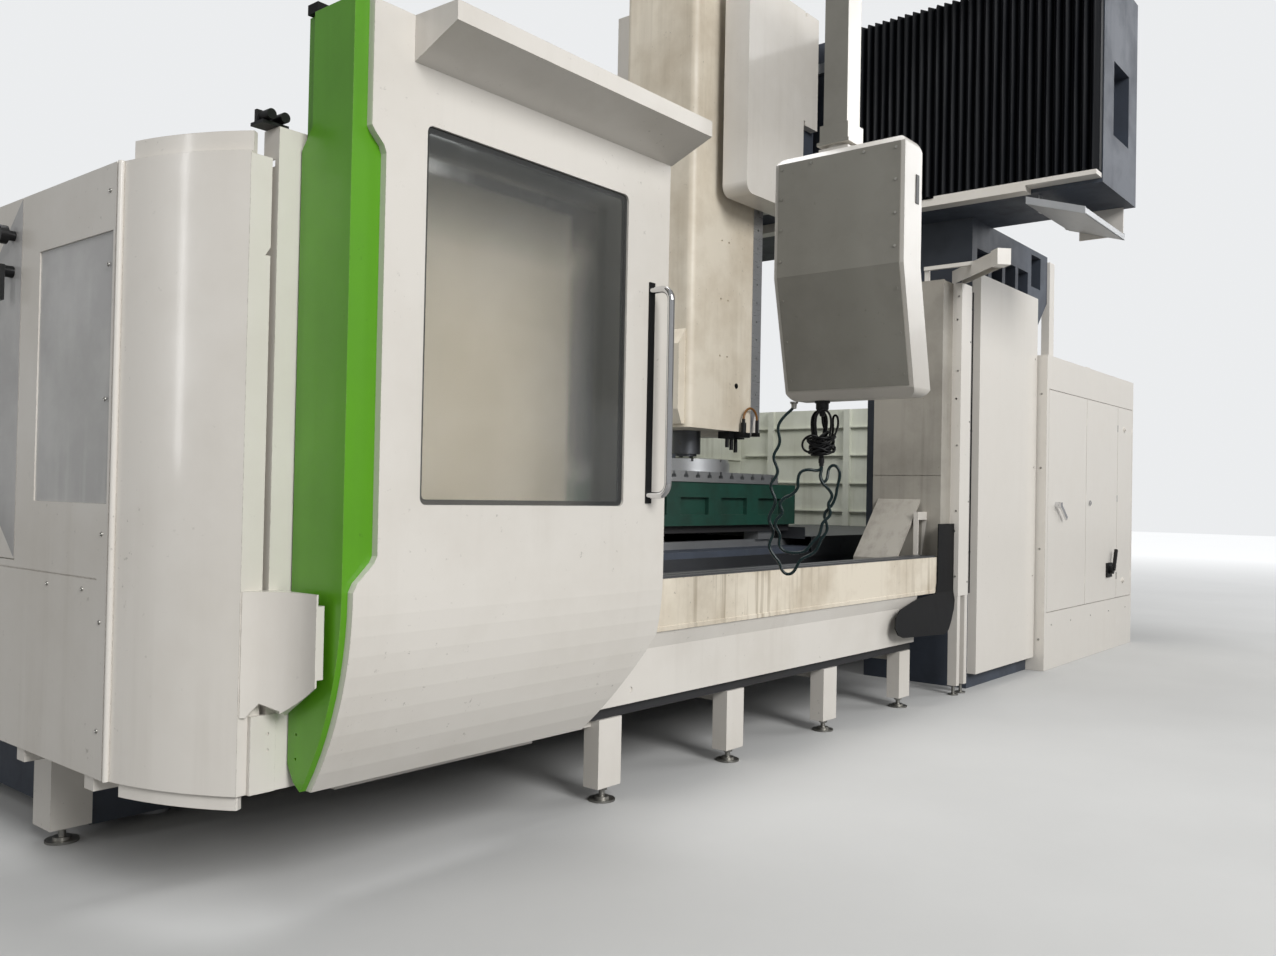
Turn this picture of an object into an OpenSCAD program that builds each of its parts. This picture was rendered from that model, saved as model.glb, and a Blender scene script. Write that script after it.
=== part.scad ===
// Double-column machining centre: the table runs along X between two columns,
// the saddle runs along Y on the crossbeam and the ram runs along Z.
// Origin: centre of the footprint on the floor. X along the operator front,
// Y from the front to the back, Z up. Millimetres.

/* [Enclosure] */
// Overall length of the machine along X
mc_len = 8870; // [8600:10:9200]
// Outer face of the fixed front panel, measured from the machine centre
front_y = 2100; // [2080:5:2140]
// Lower edge of the enclosure above the floor
skirt_z = 380; // [360:5:400]
// Top edge of the enclosure walls
wall_top = 2200; // [2180:5:2240]
// Sheet thickness of the enclosure walls, folded edges included
wall_t = 40; // [30:1:45]
// Plan radius of the rounded front corner
corner_r = 1000; // [960:10:1040]
// Angle that the rounded corner sweeps
corner_a = 34.7; // [33.5:0.1:36]

/* [Sliding door] */
// Door width
door_w = 1404; // [1390:1:1415]
// Left edge of the door from the left end of the machine, door open
door_off = 326; // [310:1:335]
// Top edge of the door
door_top = 2625; // [2600:5:2700]
// Depth of the door from its white face to its back
door_d = 268; // [262:1:272]
// Thickness of the white front skin
skin_t = 25; // [15:1:30]
// Height at which the lower curve of the door starts
curve_z = 950; // [900:10:1000]
// Radius of the lower curve of the door
curve_r = 1000; // [950:10:1100]
// Window width
win_w = 920; // [850:5:960]
// Window height
win_h = 1117; // [1000:5:1130]
// Lower edge of the window
win_z = 1205; // [1180:5:1230]
// Depth of the canopy over the window
canopy_d = 185; // [150:5:220]
// Length of the door handle
handle_l = 775; // [700:5:820]
// Diameter of the handle bar
handle_dia = 26; // [22:1:32]
// Stand-off of the handle bar
handle_off = 90; // [80:1:100]

/* [Sill and legs] */
// Top of the sill
sill_z = 890; // [870:5:910]
// Height of the sill face
sill_h = 222; // [200:2:240]
// Setback of the lower panel behind the front panel
panel_set = 74; // [60:1:78]
// Leg section
leg_s = 140; // [110:2:150]
// Depth of a front leg
leg_d = 80; // [76:2:110]
// Leg clearance over the floor
leg_z = 60; // [55:1:90]
// Diameter of a levelling pad
pad_d = 110; // [90:2:130]

/* [Bed and table] */
// Bed width
bed_w = 1900; // [1800:10:1960]
// Top of the bed
bed_z = 900; // [880:5:920]
// Table length
table_l = 2510; // [2400:10:2560]
// Table width
table_w = 1700; // [1600:10:1720]
// Top of the table
table_z = 1400; // [1390:1:1410]
// Thickness of the table plate
table_t = 68; // [60:1:80]
// Pitch of the T-slots
slot_p = 125; // [110:5:150]
// Mouth width of a T-slot
slot_w = 22; // [18:1:28]
// Diameter of the round faceplate
disc_d = 580; // [520:10:640]
// Thickness of the round faceplate
disc_t = 85; // [70:1:95]

/* [Columns and crossbeam] */
// Distance between the inner faces of the columns
col_gap = 2560; // [2500:10:2600]
// Depth of a column along Y
col_d = 750; // [700:10:770]
// Width of a column along X
col_w = 1110; // [1060:10:1110]
// Underside of the crossbeam
beam_z = 3140; // [3100:10:3180]
// Height of the crossbeam
beam_h = 1300; // [1250:10:1350]
// Length of the crossbeam
beam_l = 5910; // [5850:10:6000]
// Depth of the crossbeam along X
beam_d = 700; // [660:10:740]

/* [Ram and saddle] */
// Ram width along X, covers included
ram_w = 720; // [700:5:725]
// Ram depth along Y
ram_d = 580; // [560:5:600]
// Lower face of the ram
ram_z = 1675; // [1665:1:1720]
// Top of the ram
ram_top = 4900; // [4800:10:5000]
// Spindle nose diameter
nose_d = 190; // [160:2:220]
// Saddle width along Y
saddle_w = 1100; // [1080:5:1120]
// Depth of one bellows fold
fold_d = 45; // [35:1:50]

/* [Electrical cabinet] */
// Cabinet length
cab_l = 2290; // [2240:5:2310]
// Cabinet depth
cab_d = 600; // [560:5:620]
// Cabinet height
cab_h = 2338; // [2300:2:2340]
// Lower edge of the cabinet doors
cab_dz = 430; // [400:5:450]
// Height of the cabinet doors
cab_dh = 1655; // [1600:5:1670]

/* [Control pendant] */
// Pendant width
pen_w = 540; // [500:5:560]
// Pendant depth
pen_d = 140; // [130:5:160]
// Height of the upright upper half
pen_up = 463; // [440:1:480]
// Height of the tilted lower half
pen_lo = 478; // [460:1:490]
// Tilt of the lower half
pen_tilt = 12; // [10:1:15]
// Lower edge of the pendant
pen_z = 1626; // [1600:1:1650]

/* [Hidden] */
$fn = 40;
gap = 0.3;
white = [0.89, 0.87, 0.82];
cream = [0.80, 0.74, 0.63];
grey = [0.55, 0.55, 0.53];
green = [0.30, 0.58, 0.10];
dark_green = [0.06, 0.17, 0.13];
steel = [0.62, 0.63, 0.64];
black = [0.07, 0.07, 0.08];
x_l = -mc_len / 2;
x_r = mc_len / 2;
y_f = -front_y;
y_b = front_y;
// Plan of the rounded corner
arc_cx = x_l + corner_r;
arc_cy = y_f + 12 + corner_r * sin(corner_a);
arc_ex = arc_cx - corner_r * cos(corner_a);
arc_ey = y_f + 12;
wall_y0 = arc_cy - 140;
// Strip between the corner and the fixed front panel
strip_w = 66;
panel_x0 = arc_ex + strip_w + 13;
panel_d = 80;
panel_top = wall_top + 85;
// Door datum
door_x0 = x_l + door_off;
door_x1 = door_x0 + door_w;
door_yb = y_f - 7;
rail_z = 2335;
door_yf = door_yb - door_d;
side_y1 = door_yb - 50;
// Opening in the enclosure front
open_x0 = panel_x0 + 1223;
open_x1 = 485;
sill_yf = y_f + 50;
lower_y = y_f + panel_set;
// Machine structure
col_yi = col_gap / 2;
col_yo = col_yi + col_d;
col_x0 = 1025;
head_x1 = 2495;
head_z = 2780;
col_x1 = col_x0 + col_w;
beam_x0 = 685;
beam_x1 = beam_x0 + beam_d;
beam_top = beam_z + beam_h;
// Saddle and ram datum
ram_yc = -560;
ram_x1 = 205;
ram_x0 = ram_x1 - ram_w;
ram_xc = (ram_x0 + ram_x1) / 2;
rail_t = 30;
ram_rail_y = 225;
saddle_x0 = ram_x1 + 170;
saddle_x1 = beam_x0 - rail_t - gap;
saddle_y0 = ram_yc - saddle_w / 2;
saddle_y1 = ram_yc + saddle_w / 2;
saddle_z0 = beam_z + 20;
cover_x0 = -300;
saddle_top = beam_top + 100;
nose_l = table_z + disc_t;
// Table datum
cast_x0 = -2075;
cast_x1 = 785;
plate_x0 = cast_x0 + 100;
// Way cover segments: their length lets them nest and still span the travel
seg_l = 1035;
seg_r = 2200;
way_x = 4120;
cast_z0 = bed_z + 95;
cast_z1 = table_z - table_t;
// Cabinet datum
cab_x1 = x_r;
cab_x0 = cab_x1 - cab_l;
cab_yf = y_f - 60;
cab_yb = cab_yf + cab_d;
leaf_t = 22;
// Pendant datum
pen_xc = -2285;
pen_yc = -2890;
tube_x = pen_xc + 35;
tube_y = pen_yc + 45;
pen_top = pen_z + pen_lo * cos(pen_tilt) + pen_up;
arm_s = 100;
estop_d = 22;
boom_z = beam_top + 180;
post_x = beam_x0 + 330;
post_y = -2640;
// Shift that puts the origin at the centre of the footprint
latch_out = 52;
x_mid = (x_l - latch_out + x_r) / 2;
y_mid = (pen_yc - pen_w / 2 - 3 + beam_l / 2) / 2;

// Box from corner to corner
module bx(a, b) translate(a) cube([b[0] - a[0], b[1] - a[1], b[2] - a[2]]);
// Plate with rounded corners in the XZ plane, thickness along +Y
module xz_plate(w, h, t, r) {
  translate([0, t, 0]) rotate([90, 0, 0]) linear_extrude(t) rsq(w, h, r);
}
// Rounded rectangle
module rsq(w, h, r) {
  translate([r, 0]) square([w - 2 * r, h]);
  translate([0, r]) square([w, h - 2 * r]);
  for (x = [r, w - r]) for (y = [r, h - r]) translate([x, y]) circle(r);
}
// Profile in the YZ plane swept along X
module along_x(x0, x1) translate([x0, 0, 0]) rotate([90, 0, 90]) linear_extrude(x1 - x0) children();
// Outline in the XZ plane swept along Y
module along_y(y0, y1) translate([0, y1, 0]) rotate([90, 0, 0]) linear_extrude(y1 - y0) children();
// Rib windows of a casting: cols by rows pockets in a face
module pockets(nx, nz, px, pz, w, h, d) {
  for (i = [0 : nx - 1]) for (k = [0 : nz - 1])
    translate([i * px, 0, k * pz]) cube([w, d, h]);
}

// Machine bed with linear rails, ball screw and motor
module bed() {
  len = mc_len - 570;
  color([0.35, 0.37, 0.38]) difference() {
    bx([-len / 2, -bed_w / 2, 40], [len / 2, bed_w / 2, bed_z]);
    for (s = [-1, 1]) for (i = [0 : 8])
      translate([-len / 2 + 320 + i * (len - 1260) / 8, s * (bed_w / 2 - 60), 170])
        translate([0, s > 0 ? 0 : -61, 0]) cube([620, 61, 480]);
    bx([-len / 2 - 1, -260, bed_z - 150], [len / 2 + 1, 260, bed_z + 1]);
  }
  color(steel) for (s = [-1, 1]) {
    bx([-len / 2 + 60, s * 700 - 32, bed_z], [len / 2 - 60, s * 700 + 32, bed_z + 48]);
    for (i = [0 : 9]) translate([-len / 2 + 300 + i * (len - 600) / 9, s * 800, 0]) cylinder(d = 130, h = 40);
  }
  color(steel) translate([-len / 2 + 120, 0, bed_z - 70]) rotate([0, 90, 0]) cylinder(d = 63, h = len - 240);
  for (e = [-len / 2 + 120, len / 2 - 240]) color([0.3, 0.3, 0.32])
    bx([e, -110, bed_z - 150], [e + 120, 110, bed_z - 5]);
}

// Casting of one column, hollow boxes behind rib windows on the outer face
module column(s) {
  color([0.42, 0.46, 0.52]) mirror([0, s > 0 ? 1 : 0, 0]) difference() {
    union() {
      bx([col_x0, -col_yo, 0], [col_x1, -col_yi, beam_z - gap]);
      along_y(-col_yo, -col_yi) polygon([[col_x1 - 1, head_z - 360], [head_x1, head_z], [head_x1, beam_z - gap], [col_x1 - 1, beam_z - gap]]);
    }
    translate([col_x0 + 85, -col_yo - 1, 300]) pockets(4, 8, 255, 340, 200, 270, 141);
    translate([col_x1 + 10, -col_yo - 1, head_z + 80]) pockets(1, 2, 255, 300, 200, 240, 141);
  }
}
module column_front() column(-1);
module column_rear() column(1);

// Crossbeam casting with its two linear rails and end plates
module crossbeam() {
  e = beam_l / 2;
  color([0.42, 0.46, 0.52]) difference() {
    bx([beam_x0, -e, beam_z], [beam_x1, e, beam_top]);
    for (s = [-1, 1]) translate([0, s > 0 ? e - 120 : -e - 1, 0])
      bx([beam_x0 + 200, 0, beam_z + 330], [beam_x0 + 520, 121, beam_z + 780]);
    translate([beam_x1 - 90, 0, 0]) for (i = [-5 : 5])
      bx([0, i * 520 - 190, beam_z + 160], [91, i * 520 + 190, beam_top - 160]);
  }
  color(steel) for (z = [beam_z + 190, beam_top - 190])
    bx([beam_x0 - rail_t, -e + 160, z - 35], [beam_x0, e - 160, z + 35]);
  color(grey) translate([post_x, post_y, beam_top]) cylinder(d = 240, h = 60);
}

// Notched light ledge under the front face of the crossbeam
module beam_ledge() {
  e = beam_l / 2;
  color(white) difference() {
    bx([beam_x0 - 105, -e + 6, beam_z - 8], [beam_x0 - gap, e - 6, beam_z + 52]);
    for (s = [-1, 1]) {
      bx([beam_x0 - 106, s > 0 ? e - 420 : -e, beam_z - 9], [beam_x0, s > 0 ? e : 420 - e, beam_z + 24]);
      bx([beam_x0 - 106, s > 0 ? 1700 : -1950, beam_z + 30], [beam_x0 - 60, s > 0 ? 1950 : -1700, beam_z + 53]);
    }
  }
}

// Sloping sheet trays under both overhanging ends of the crossbeam
module drip_trays() {
  e = beam_l / 2;
  tray_y = 395 - e;
  color(steel) for (s = [-1, 1]) mirror([0, s > 0 ? 1 : 0, 0]) {
    along_x(beam_x0 - 150, beam_x1 - 60)
      polygon([[tray_y, beam_z - 96], [tray_y, beam_z - 104], [-e + 55, beam_z - 214],
        [-e + 49, beam_z - 210], [-e + 49, beam_z - 178], [-e + 55, beam_z - 178], [-e + 55, beam_z - 206]]);
    for (x = [beam_x0 - 158, beam_x1 - 60])
      along_x(x, x + 8)
        polygon([[tray_y, beam_z - 60], [tray_y, beam_z - 104], [-e + 49, beam_z - 214], [-e + 49, beam_z - 172]]);
    for (x = [beam_x0 + 60, beam_x1 - 140]) bx([x, tray_y - 8, beam_z - 110], [x + 40, tray_y, beam_z - gap]);
  }
  color(white) for (s = [-1, 1]) mirror([0, s > 0 ? 1 : 0, 0]) {
    bx([beam_x1 - 52 + gap, -e + 60, beam_z - 180], [beam_x1 - 40, -e + 330, beam_z - gap]);
  }
}

// One pleated bellows on the crossbeam face, zigzag folds along Y
module bellows(y0, y1, n, s) {
  p = (y1 - y0) / n;
  xo = beam_x0 - 52;
  color(black) translate([0, 0, beam_z + 60]) linear_extrude(beam_h - 70)
    polygon(concat(
      [for (i = [0 : n - 1]) each [[xo, y0 + i * p], [xo - fold_d, y0 + (i + 0.5) * p]]],
      [[xo, y1], [xo + 14, y1]],
      [for (i = [n - 1 : -1 : 0]) each [[xo - fold_d + 14, y0 + (i + 0.5) * p], [xo + 14, y0 + i * p]]]));
  color(black) for (k = [0, 1]) translate([0, k > 0 ? y1 - 12 : y0, 0])
    bx([beam_x0 - 52, 0, beam_z + 60], [beam_x0 - (k == s ? gap : rail_t + 3), 12, beam_top - 10]);
}
module bellows_front() bellows(-beam_l / 2 + 5, saddle_y0 - gap, 34, 0);
module bellows_rear() bellows(saddle_y1 + gap, beam_l / 2 - 5, 56, 1);

// Rounded front corner: plan sector of a cylinder shell with its front strip
module corner_plan(t) {
  intersection() {
    difference() {
      translate([arc_cx, arc_cy]) circle(corner_r, $fn = 180);
      translate([arc_cx, arc_cy]) circle(corner_r - t, $fn = 180);
    }
    polygon([[arc_cx, arc_cy], [arc_cx - 2 * corner_r, arc_cy],
      [arc_cx - 2 * corner_r * cos(corner_a), arc_cy - 2 * corner_r * sin(corner_a)]]);
    translate([x_l - 20, arc_ey - 1]) square([corner_r, wall_y0 - gap - arc_ey + 1]);
  }
}
module corner_panel() {
  color(white) {
    translate([0, 0, skirt_z]) linear_extrude(wall_top - skirt_z) corner_plan(wall_t);
    difference() {
      bx([arc_ex - 1, arc_ey, skirt_z], [arc_ex + strip_w, arc_ey + 55, wall_top - 8]);
      translate([arc_ex + strip_w, arc_ey - 1, wall_top - 290])
        along_y(0, 30) polygon([[-16, 0], [1, 0], [1, 26]]);
    }
    translate([x_l + 6, wall_y0 - 14, skirt_z]) cylinder(d = 18, h = wall_top - skirt_z);
    translate([0, 0, skirt_z - 42]) linear_extrude(43) intersection() {
      translate([9, 9]) corner_plan(wall_t - 14);
      translate([x_l, arc_ey + 12]) square([corner_r, wall_y0 - arc_ey - 60]);
    }
    translate([0, 0, wall_top - 1]) linear_extrude(61) intersection() {
      translate([14, 12]) corner_plan(wall_t - 18);
      translate([x_l, arc_ey]) square([corner_r, wall_y0 - arc_ey - 40]);
    }
  }
}
// Left end wall: window near the front, door leaf in the middle
end_dy0 = -985;
end_dy1 = 215;
win_y0 = wall_y0 + 14;
win_y1 = wall_y0 + 531;
hinge_y = end_dy1 - 12;
knuckle_h = 110;
module end_wall() {
  color(white) difference() {
    union() {
      bx([x_l, wall_y0, skirt_z], [x_l + wall_t, y_b, wall_top]);
      for (z = [1150, 2000]) {
        translate([x_l - 9, hinge_y, z + knuckle_h + gap]) cylinder(d = 18, h = 50);
        bx([x_l - 8, hinge_y, z + knuckle_h + gap], [x_l - gap, end_dy1 + 20, z + knuckle_h + gap + 50]);
        bx([x_l - 8, end_dy1 + 10, z + knuckle_h + gap], [x_l + 1, end_dy1 + 45, z + knuckle_h + gap + 50]);
      }
    }
    bx([x_l - 1, win_y0, 1190], [x_l + wall_t + 1, win_y1, 2000]);
    bx([x_l - 1, end_dy0, 990], [x_l + wall_t + 1, end_dy1, wall_top + 1]);
    bx([x_l - 1, wall_y0 + 65, 963], [x_l + 4, y_b + 1, 967]);
  }
}
module end_glass() {
  color([0.5, 0.52, 0.5]) bx([x_l + 5, win_y0 + gap, 1190 + gap], [x_l + 13, win_y1 - gap, 2000 - gap]);
}
// Hinged leaf in the end wall
module end_door() {
  color(white) {
    difference() {
      bx([x_l, end_dy0 + 4, 994], [x_l + 36, end_dy1 - 4, wall_top]);
      bx([x_l - 1, end_dy0 + 300, 1250], [x_l + 37, end_dy1 - 300, 1950]);
    }
    for (z = [1150, 2000]) translate([x_l - 9, hinge_y, z]) cylinder(d = 18, h = knuckle_h);
    for (z = [1150, 2000]) bx([x_l - 9, hinge_y - 9, z], [x_l + 1, hinge_y, z + knuckle_h]);
  }
  color([0.6, 0.62, 0.6]) bx([x_l + 8, end_dy0 + 299, 1249], [x_l + 14, end_dy1 - 299, 1951]);
}
// Black knob and lever handle on the leaf
module end_latches() {
  color(black) {
    translate([x_l - gap, end_dy0 + 70, 2080]) rotate([0, -90, 0]) cylinder(d = 34, h = 26);
    translate([x_l - 26, end_dy0 + 70, 2080]) rotate([0, -90, 0]) cylinder(d = 62, h = latch_out - 26);
    translate([x_l - gap, end_dy0 + 80, 1960]) rotate([0, -90, 0]) cylinder(d = 40, h = 30);
    bx([x_l - 50, end_dy0 + 62, 1860], [x_l - 30, end_dy0 + 98, 1980]);
  }
}

// Fixed front panel behind the sliding door
module front_panel() {
  color(cream) difference() {
    bx([panel_x0, y_f, skirt_z], [open_x0, y_f + panel_d, panel_top]);
    bx([panel_x0 + 4, y_f + 20, skirt_z - 1], [open_x0 - 4, y_f + panel_d + 1, panel_top - 30]);
    bx([panel_x0 - 1, y_f + 20, panel_top - 112], [panel_x0 + 24, y_f + 45, panel_top - 92]);
    bx([open_x0 - 5, lower_y - 1, skirt_z - 1], [open_x0 + 1, y_f + panel_d + 1, sill_z - sill_h - 47]);
  }
}
// Roller brackets that guide the top of the sliding door
module guide_bracket(x, h) {
  bx([x, y_f + 8, panel_top + gap], [x + 84, y_f + 72, panel_top + 10]);
  bx([x, y_f + 40, panel_top + 10], [x + 84, y_f + 52, panel_top + h]);
  for (i = [20, 64]) translate([x + i, y_f + 40, panel_top + h - 18]) rotate([90, 0, 0]) cylinder(d = 30, h = 47 - gap);
}
module guide_brackets() {
  color(black) {
    guide_bracket(panel_x0 - 50, 45);
    guide_bracket(open_x0 - 110, rail_z - panel_top + 30);
  }
}

// Concave side fairing and box between the corner and the door
fair_x0 = arc_ex + 2;
fair_x1 = door_x0 - 44;
fair_z0 = 600;
fair_d = 210;
fair_r = 200;
module side_fairing() {
  ya = arc_ey - 4;
  yb = arc_ey - fair_d;
  chord = sqrt(pow(fair_x1 - fair_x0, 2) + pow(yb - ya, 2));
  h = sqrt(fair_r * fair_r - chord * chord / 4);
  cx = (fair_x0 + fair_x1) / 2 - h * (ya - yb) / chord;
  cy = (ya + yb) / 2 - h * (fair_x1 - fair_x0) / chord;
  color(white) {
    difference() {
      translate([0, 0, fair_z0]) linear_extrude(954 - fair_z0) difference() {
        polygon([[fair_x0, arc_ey - gap], [fair_x0, ya], [fair_x1, yb], [fair_x1 + 6, yb],
          [fair_x1 + 6, y_f - gap], [panel_x0 - gap, y_f - gap], [panel_x0 - gap, arc_ey - gap]]);
        translate([cx, cy]) circle(fair_r, $fn = 120);
      }
      along_x(fair_x0 - 1, fair_x1 + 9) polygon([[arc_ey - 60, fair_z0 - 1], [yb - 10, fair_z0 - 1],
        [yb - 10, fair_z0 + 104]]);
      translate([fair_x1, arc_ey - 60, 0]) along_y(-20, 62)
        polygon([[-90, fair_z0 - 1], [7, fair_z0 - 1], [7, fair_z0 + 1], [-60, fair_z0 + 40]]);
    }
    difference() {
      union() {
        bx([arc_ex + 30, arc_ey - 16, skirt_z], [panel_x0 - gap, arc_ey - gap, fair_z0 + 1]);
        bx([arc_ex + 30, arc_ey - 16, skirt_z], [fair_x1 + 6, y_f - gap, fair_z0 + 1]);
      }
      for (z = [fair_z0 - 54, fair_z0 - 100]) translate([fair_x1 + 6 - 26, arc_ey, z]) rotate([90, 0, 0]) cylinder(d = 9, h = 20);
    }
    bx([fair_x1 + 6, yb, fair_z0 + 118], [fair_x1 + 26, yb + 6, 922]);
    bx([fair_x1 + 20, yb + 6, fair_z0 + 118], [fair_x1 + 26, yb + 30, 922]);
  }
}

// Sill below the opening
module sill() {
  color(cream) along_x(open_x0 + gap, open_x1) polygon([[sill_yf, sill_z], [sill_yf, sill_z - sill_h + 22],
    [sill_yf - 4, sill_z - sill_h + 18], [sill_yf - 4, sill_z - sill_h], [sill_yf + 60, sill_z - sill_h],
    [sill_yf + 60, sill_z - sill_h + 12], [sill_yf + 12, sill_z - sill_h + 12], [sill_yf + 12, sill_z - 12],
    [sill_yf + 150, sill_z - 12], [sill_yf + 150, sill_z]]);
  color(cream) bx([open_x1 - 12, sill_yf + 12, sill_z - sill_h + 12], [open_x1, sill_yf + 150, sill_z - 12]);
}
// Dark steel wear strip and door track on the sill
module sill_strip() {
  color([0.22, 0.23, 0.24]) {
    difference() {
      bx([open_x0 + gap, sill_yf + 4, sill_z + gap], [open_x1 - 10, sill_yf + 120, sill_z + 10]);
      bx([open_x0 - 1, sill_yf + 40, sill_z + 4], [open_x1, sill_yf + 60, sill_z + 11]);
    }
  }
}
// Lower front panel with a dark return under it and a round plug
module lower_panel() {
  px1 = open_x1 - 260;
  top = sill_z - sill_h - gap;
  color(white) difference() {
    union() {
      bx([open_x0 - 130, lower_y, skirt_z + 5], [px1, lower_y + 14, top - 66]);
      along_x(open_x0 + 2, px1) polygon([[lower_y, top - 68], [sill_yf + 3, top], [sill_yf + 17, top], [lower_y + 14, top - 64]]);
    }
    translate([open_x0 + 495, lower_y - 1, skirt_z + 61]) rotate([-90, 0, 0]) cylinder(d = 24, h = 16);
  }
  color([0.8, 0.78, 0.74]) translate([open_x0 + 495, lower_y + 4, skirt_z + 61]) rotate([-90, 0, 0]) cylinder(d = 24, h = 10);
  color([0.16, 0.16, 0.16]) bx([open_x0 - 130, lower_y + 26, skirt_z - 42], [px1, lower_y + 40, skirt_z + 90]);
  color([0.16, 0.16, 0.16]) bx([open_x0 - 130, lower_y + 14, skirt_z + 60], [px1, lower_y + 26, skirt_z + 90]);
}
// Legs of the enclosure: a front row, a rear row and rows under the ends
leg_y = lower_y + 14 + gap;
rear_y = y_b - 40 - leg_s;
front_x0 = open_x0 + 318;
front_xs = [for (i = [0 : 3]) front_x0 + i * (63 - front_x0) / 3];
rear_xs = concat([for (i = [0 : 4]) x_l + 385 + i * 900], [x_r - 1475, x_r - 255]);
rear_posts = [-4000, -2750, -1500, -250, 900, 2200, 3450];
end_ys = [-1000, 150, 1150];
cab_yl = cab_yb + 60;
bar_z0 = skirt_z - 42 - gap;
bar_y0 = y_f + 8;
post_x0 = 725;
post_x1 = 885;
post_z0 = 635;
inner_x = 575;
module at_legs() {
  for (x = rear_xs) translate([x, rear_y]) children();
  for (x = [x_r - 1475, x_r - 255 - leg_s]) translate([x, cab_yl]) children();
  for (y = end_ys) {
    translate([x_l + 130, y]) children();
    translate([x_r - 30 - leg_s, y]) children();
  }
}
module legs() {
  color(white) {
    at_legs() translate([0, 0, leg_z]) cube([leg_s, leg_s, skirt_z - 42 - gap - leg_z]);
    for (x = front_xs) translate([x, leg_y, leg_z]) cube([leg_s, leg_d, skirt_z - 42 - gap - leg_z]);
    for (s = [-1, 1]) bx([x_l + 500, s > 0 ? 1200 : bar_y0, bar_z0], [x_l + 560, s > 0 ? y_b - 5 : -1040, skirt_z - gap]);
    for (y = [-1100, 1200]) bx([x_l + 5, y, bar_z0], [x_l + 560, y + 60, skirt_z - gap]);
    bx([x_l + 190, -1041, bar_z0], [x_l + 250, 1201, skirt_z - gap]);
    bx([x_l + 5, wall_y0 + 60, bar_z0], [x_l + 560, wall_y0 + 120, skirt_z - gap]);
    bx([x_r - 60, cab_yb + 15, bar_z0], [x_r - 30, y_b - 5, skirt_z - gap]);
    bx([x_l + 90, y_b - 65, bar_z0], [x_r - 60, y_b - 5, skirt_z - gap]);
    bx([x_l + 500, bar_y0, bar_z0], [open_x0 - 140, bar_y0 + 50, skirt_z - gap]);
    bx([open_x0 - 200, bar_y0, bar_z0], [open_x0 - 140, leg_y + 100, skirt_z - gap]);
    bx([open_x0 - 200, leg_y + 45, bar_z0 - 30], [front_xs[0] + 40, leg_y + 100, bar_z0 + 1]);
    bx([cab_x0 + 60, cab_yb + 15, bar_z0], [x_r - 30, cab_yb + 75, skirt_z - gap]);
    for (x = front_xs) bx([x + 40, leg_y + 60, bar_z0 - 60], [x + 100, -bed_w / 2 - gap, bar_z0]);
    for (x = [post_x0, post_x1 - 45]) bx([x, y_f + 12, leg_z], [x + 45, y_f + 72, post_z0 - gap]);
  }
}
// Levelling screws with pads
module foot() {
  cylinder(d = pad_d, h = 8);
  translate([0, 0, 8]) cylinder(d = 60, h = 10);
  translate([0, 0, 18]) cylinder(d = 24, h = leg_z - 18 - gap);
  translate([0, 0, leg_z - 18]) cylinder(d = 44, h = 14, $fn = 6);
}
module small_foot() {
  cylinder(d = 64, h = 8);
  translate([0, 0, 8]) cylinder(d = 20, h = leg_z - 8 - gap);
}
module feet() {
  color(steel) {
    at_legs() translate([leg_s / 2, leg_s / 2]) foot();
    for (x = front_xs) translate([x + leg_s / 2, leg_y + leg_d / 2]) foot();
    for (x = [post_x0, post_x1 - 45]) translate([x + 22.5, y_f + 42]) small_foot();
  }
}

// Grey inner splash wall beside the column with its chip chute and small frame
module inner_wall() {
  xi = inner_x;
  color(grey) {
    difference() {
      bx([xi, sill_yf + 20, 790], [xi + 20, -1560, wall_top + 450]);
      bx([xi - 1, sill_yf + 19, 1400], [xi + 4, -1559, 1404]);
    }
    bx([xi + 19, sill_yf + 20, 1000], [post_x0 - gap, sill_yf + 32, wall_top + 446]);
    along_y(sill_yf + 155, -1600) polygon([[xi + 1, 1250], [xi - 330, 880], [xi - 330, 866], [xi + 1, 1232]]);
    bx([xi - 330, sill_yf + 155, 789], [xi - 318, -1600, 868]);
  }
  color(white) {
    bx([open_x1 - 40, sill_yf + 110, sill_z + 10.5], [open_x1 - 28, sill_yf + 140, 1170]);
    bx([open_x1 - 40, sill_yf + 110, 1120], [xi + 1, sill_yf + 140, 1170]);
  }
  chip_pan();
}

// White cover over the front column and the jamb post beside it
module column_cover() {
  cy = -col_yo - gap;
  color(white) difference() {
    bx([col_x0 + 10, cy - 60, 100], [col_x1 - 8, cy, beam_z - 385]);
    bx([col_x0 + 16, cy - 54, 99], [col_x1 - 14, cy - 20, beam_z - 391]);
    for (z = [700, 1500, 2300]) translate([col_x1 - 50, cy - 61, z]) rotate([-90, 0, 0]) cylinder(d = 16, h = 8);
  }
  color(white) bx([head_x1 + gap, cy - 20, cab_h + gap], [head_x1 + 105, cy + 40, beam_z - 40]);
  color(white) difference() {
    bx([post_x0, y_f + 10, post_z0], [post_x1, y_f + 90, wall_top + 446]);
    bx([post_x0 + 6, y_f + 16, post_z0 + 6], [post_x1 - 6, y_f + 84, wall_top + 440]);
    for (z = [1050, 1900, 2410]) translate([post_x0 - 1, y_f + 40, z]) rotate([0, 90, 0]) cylinder(d = 14, h = 8);
  }
}
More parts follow.
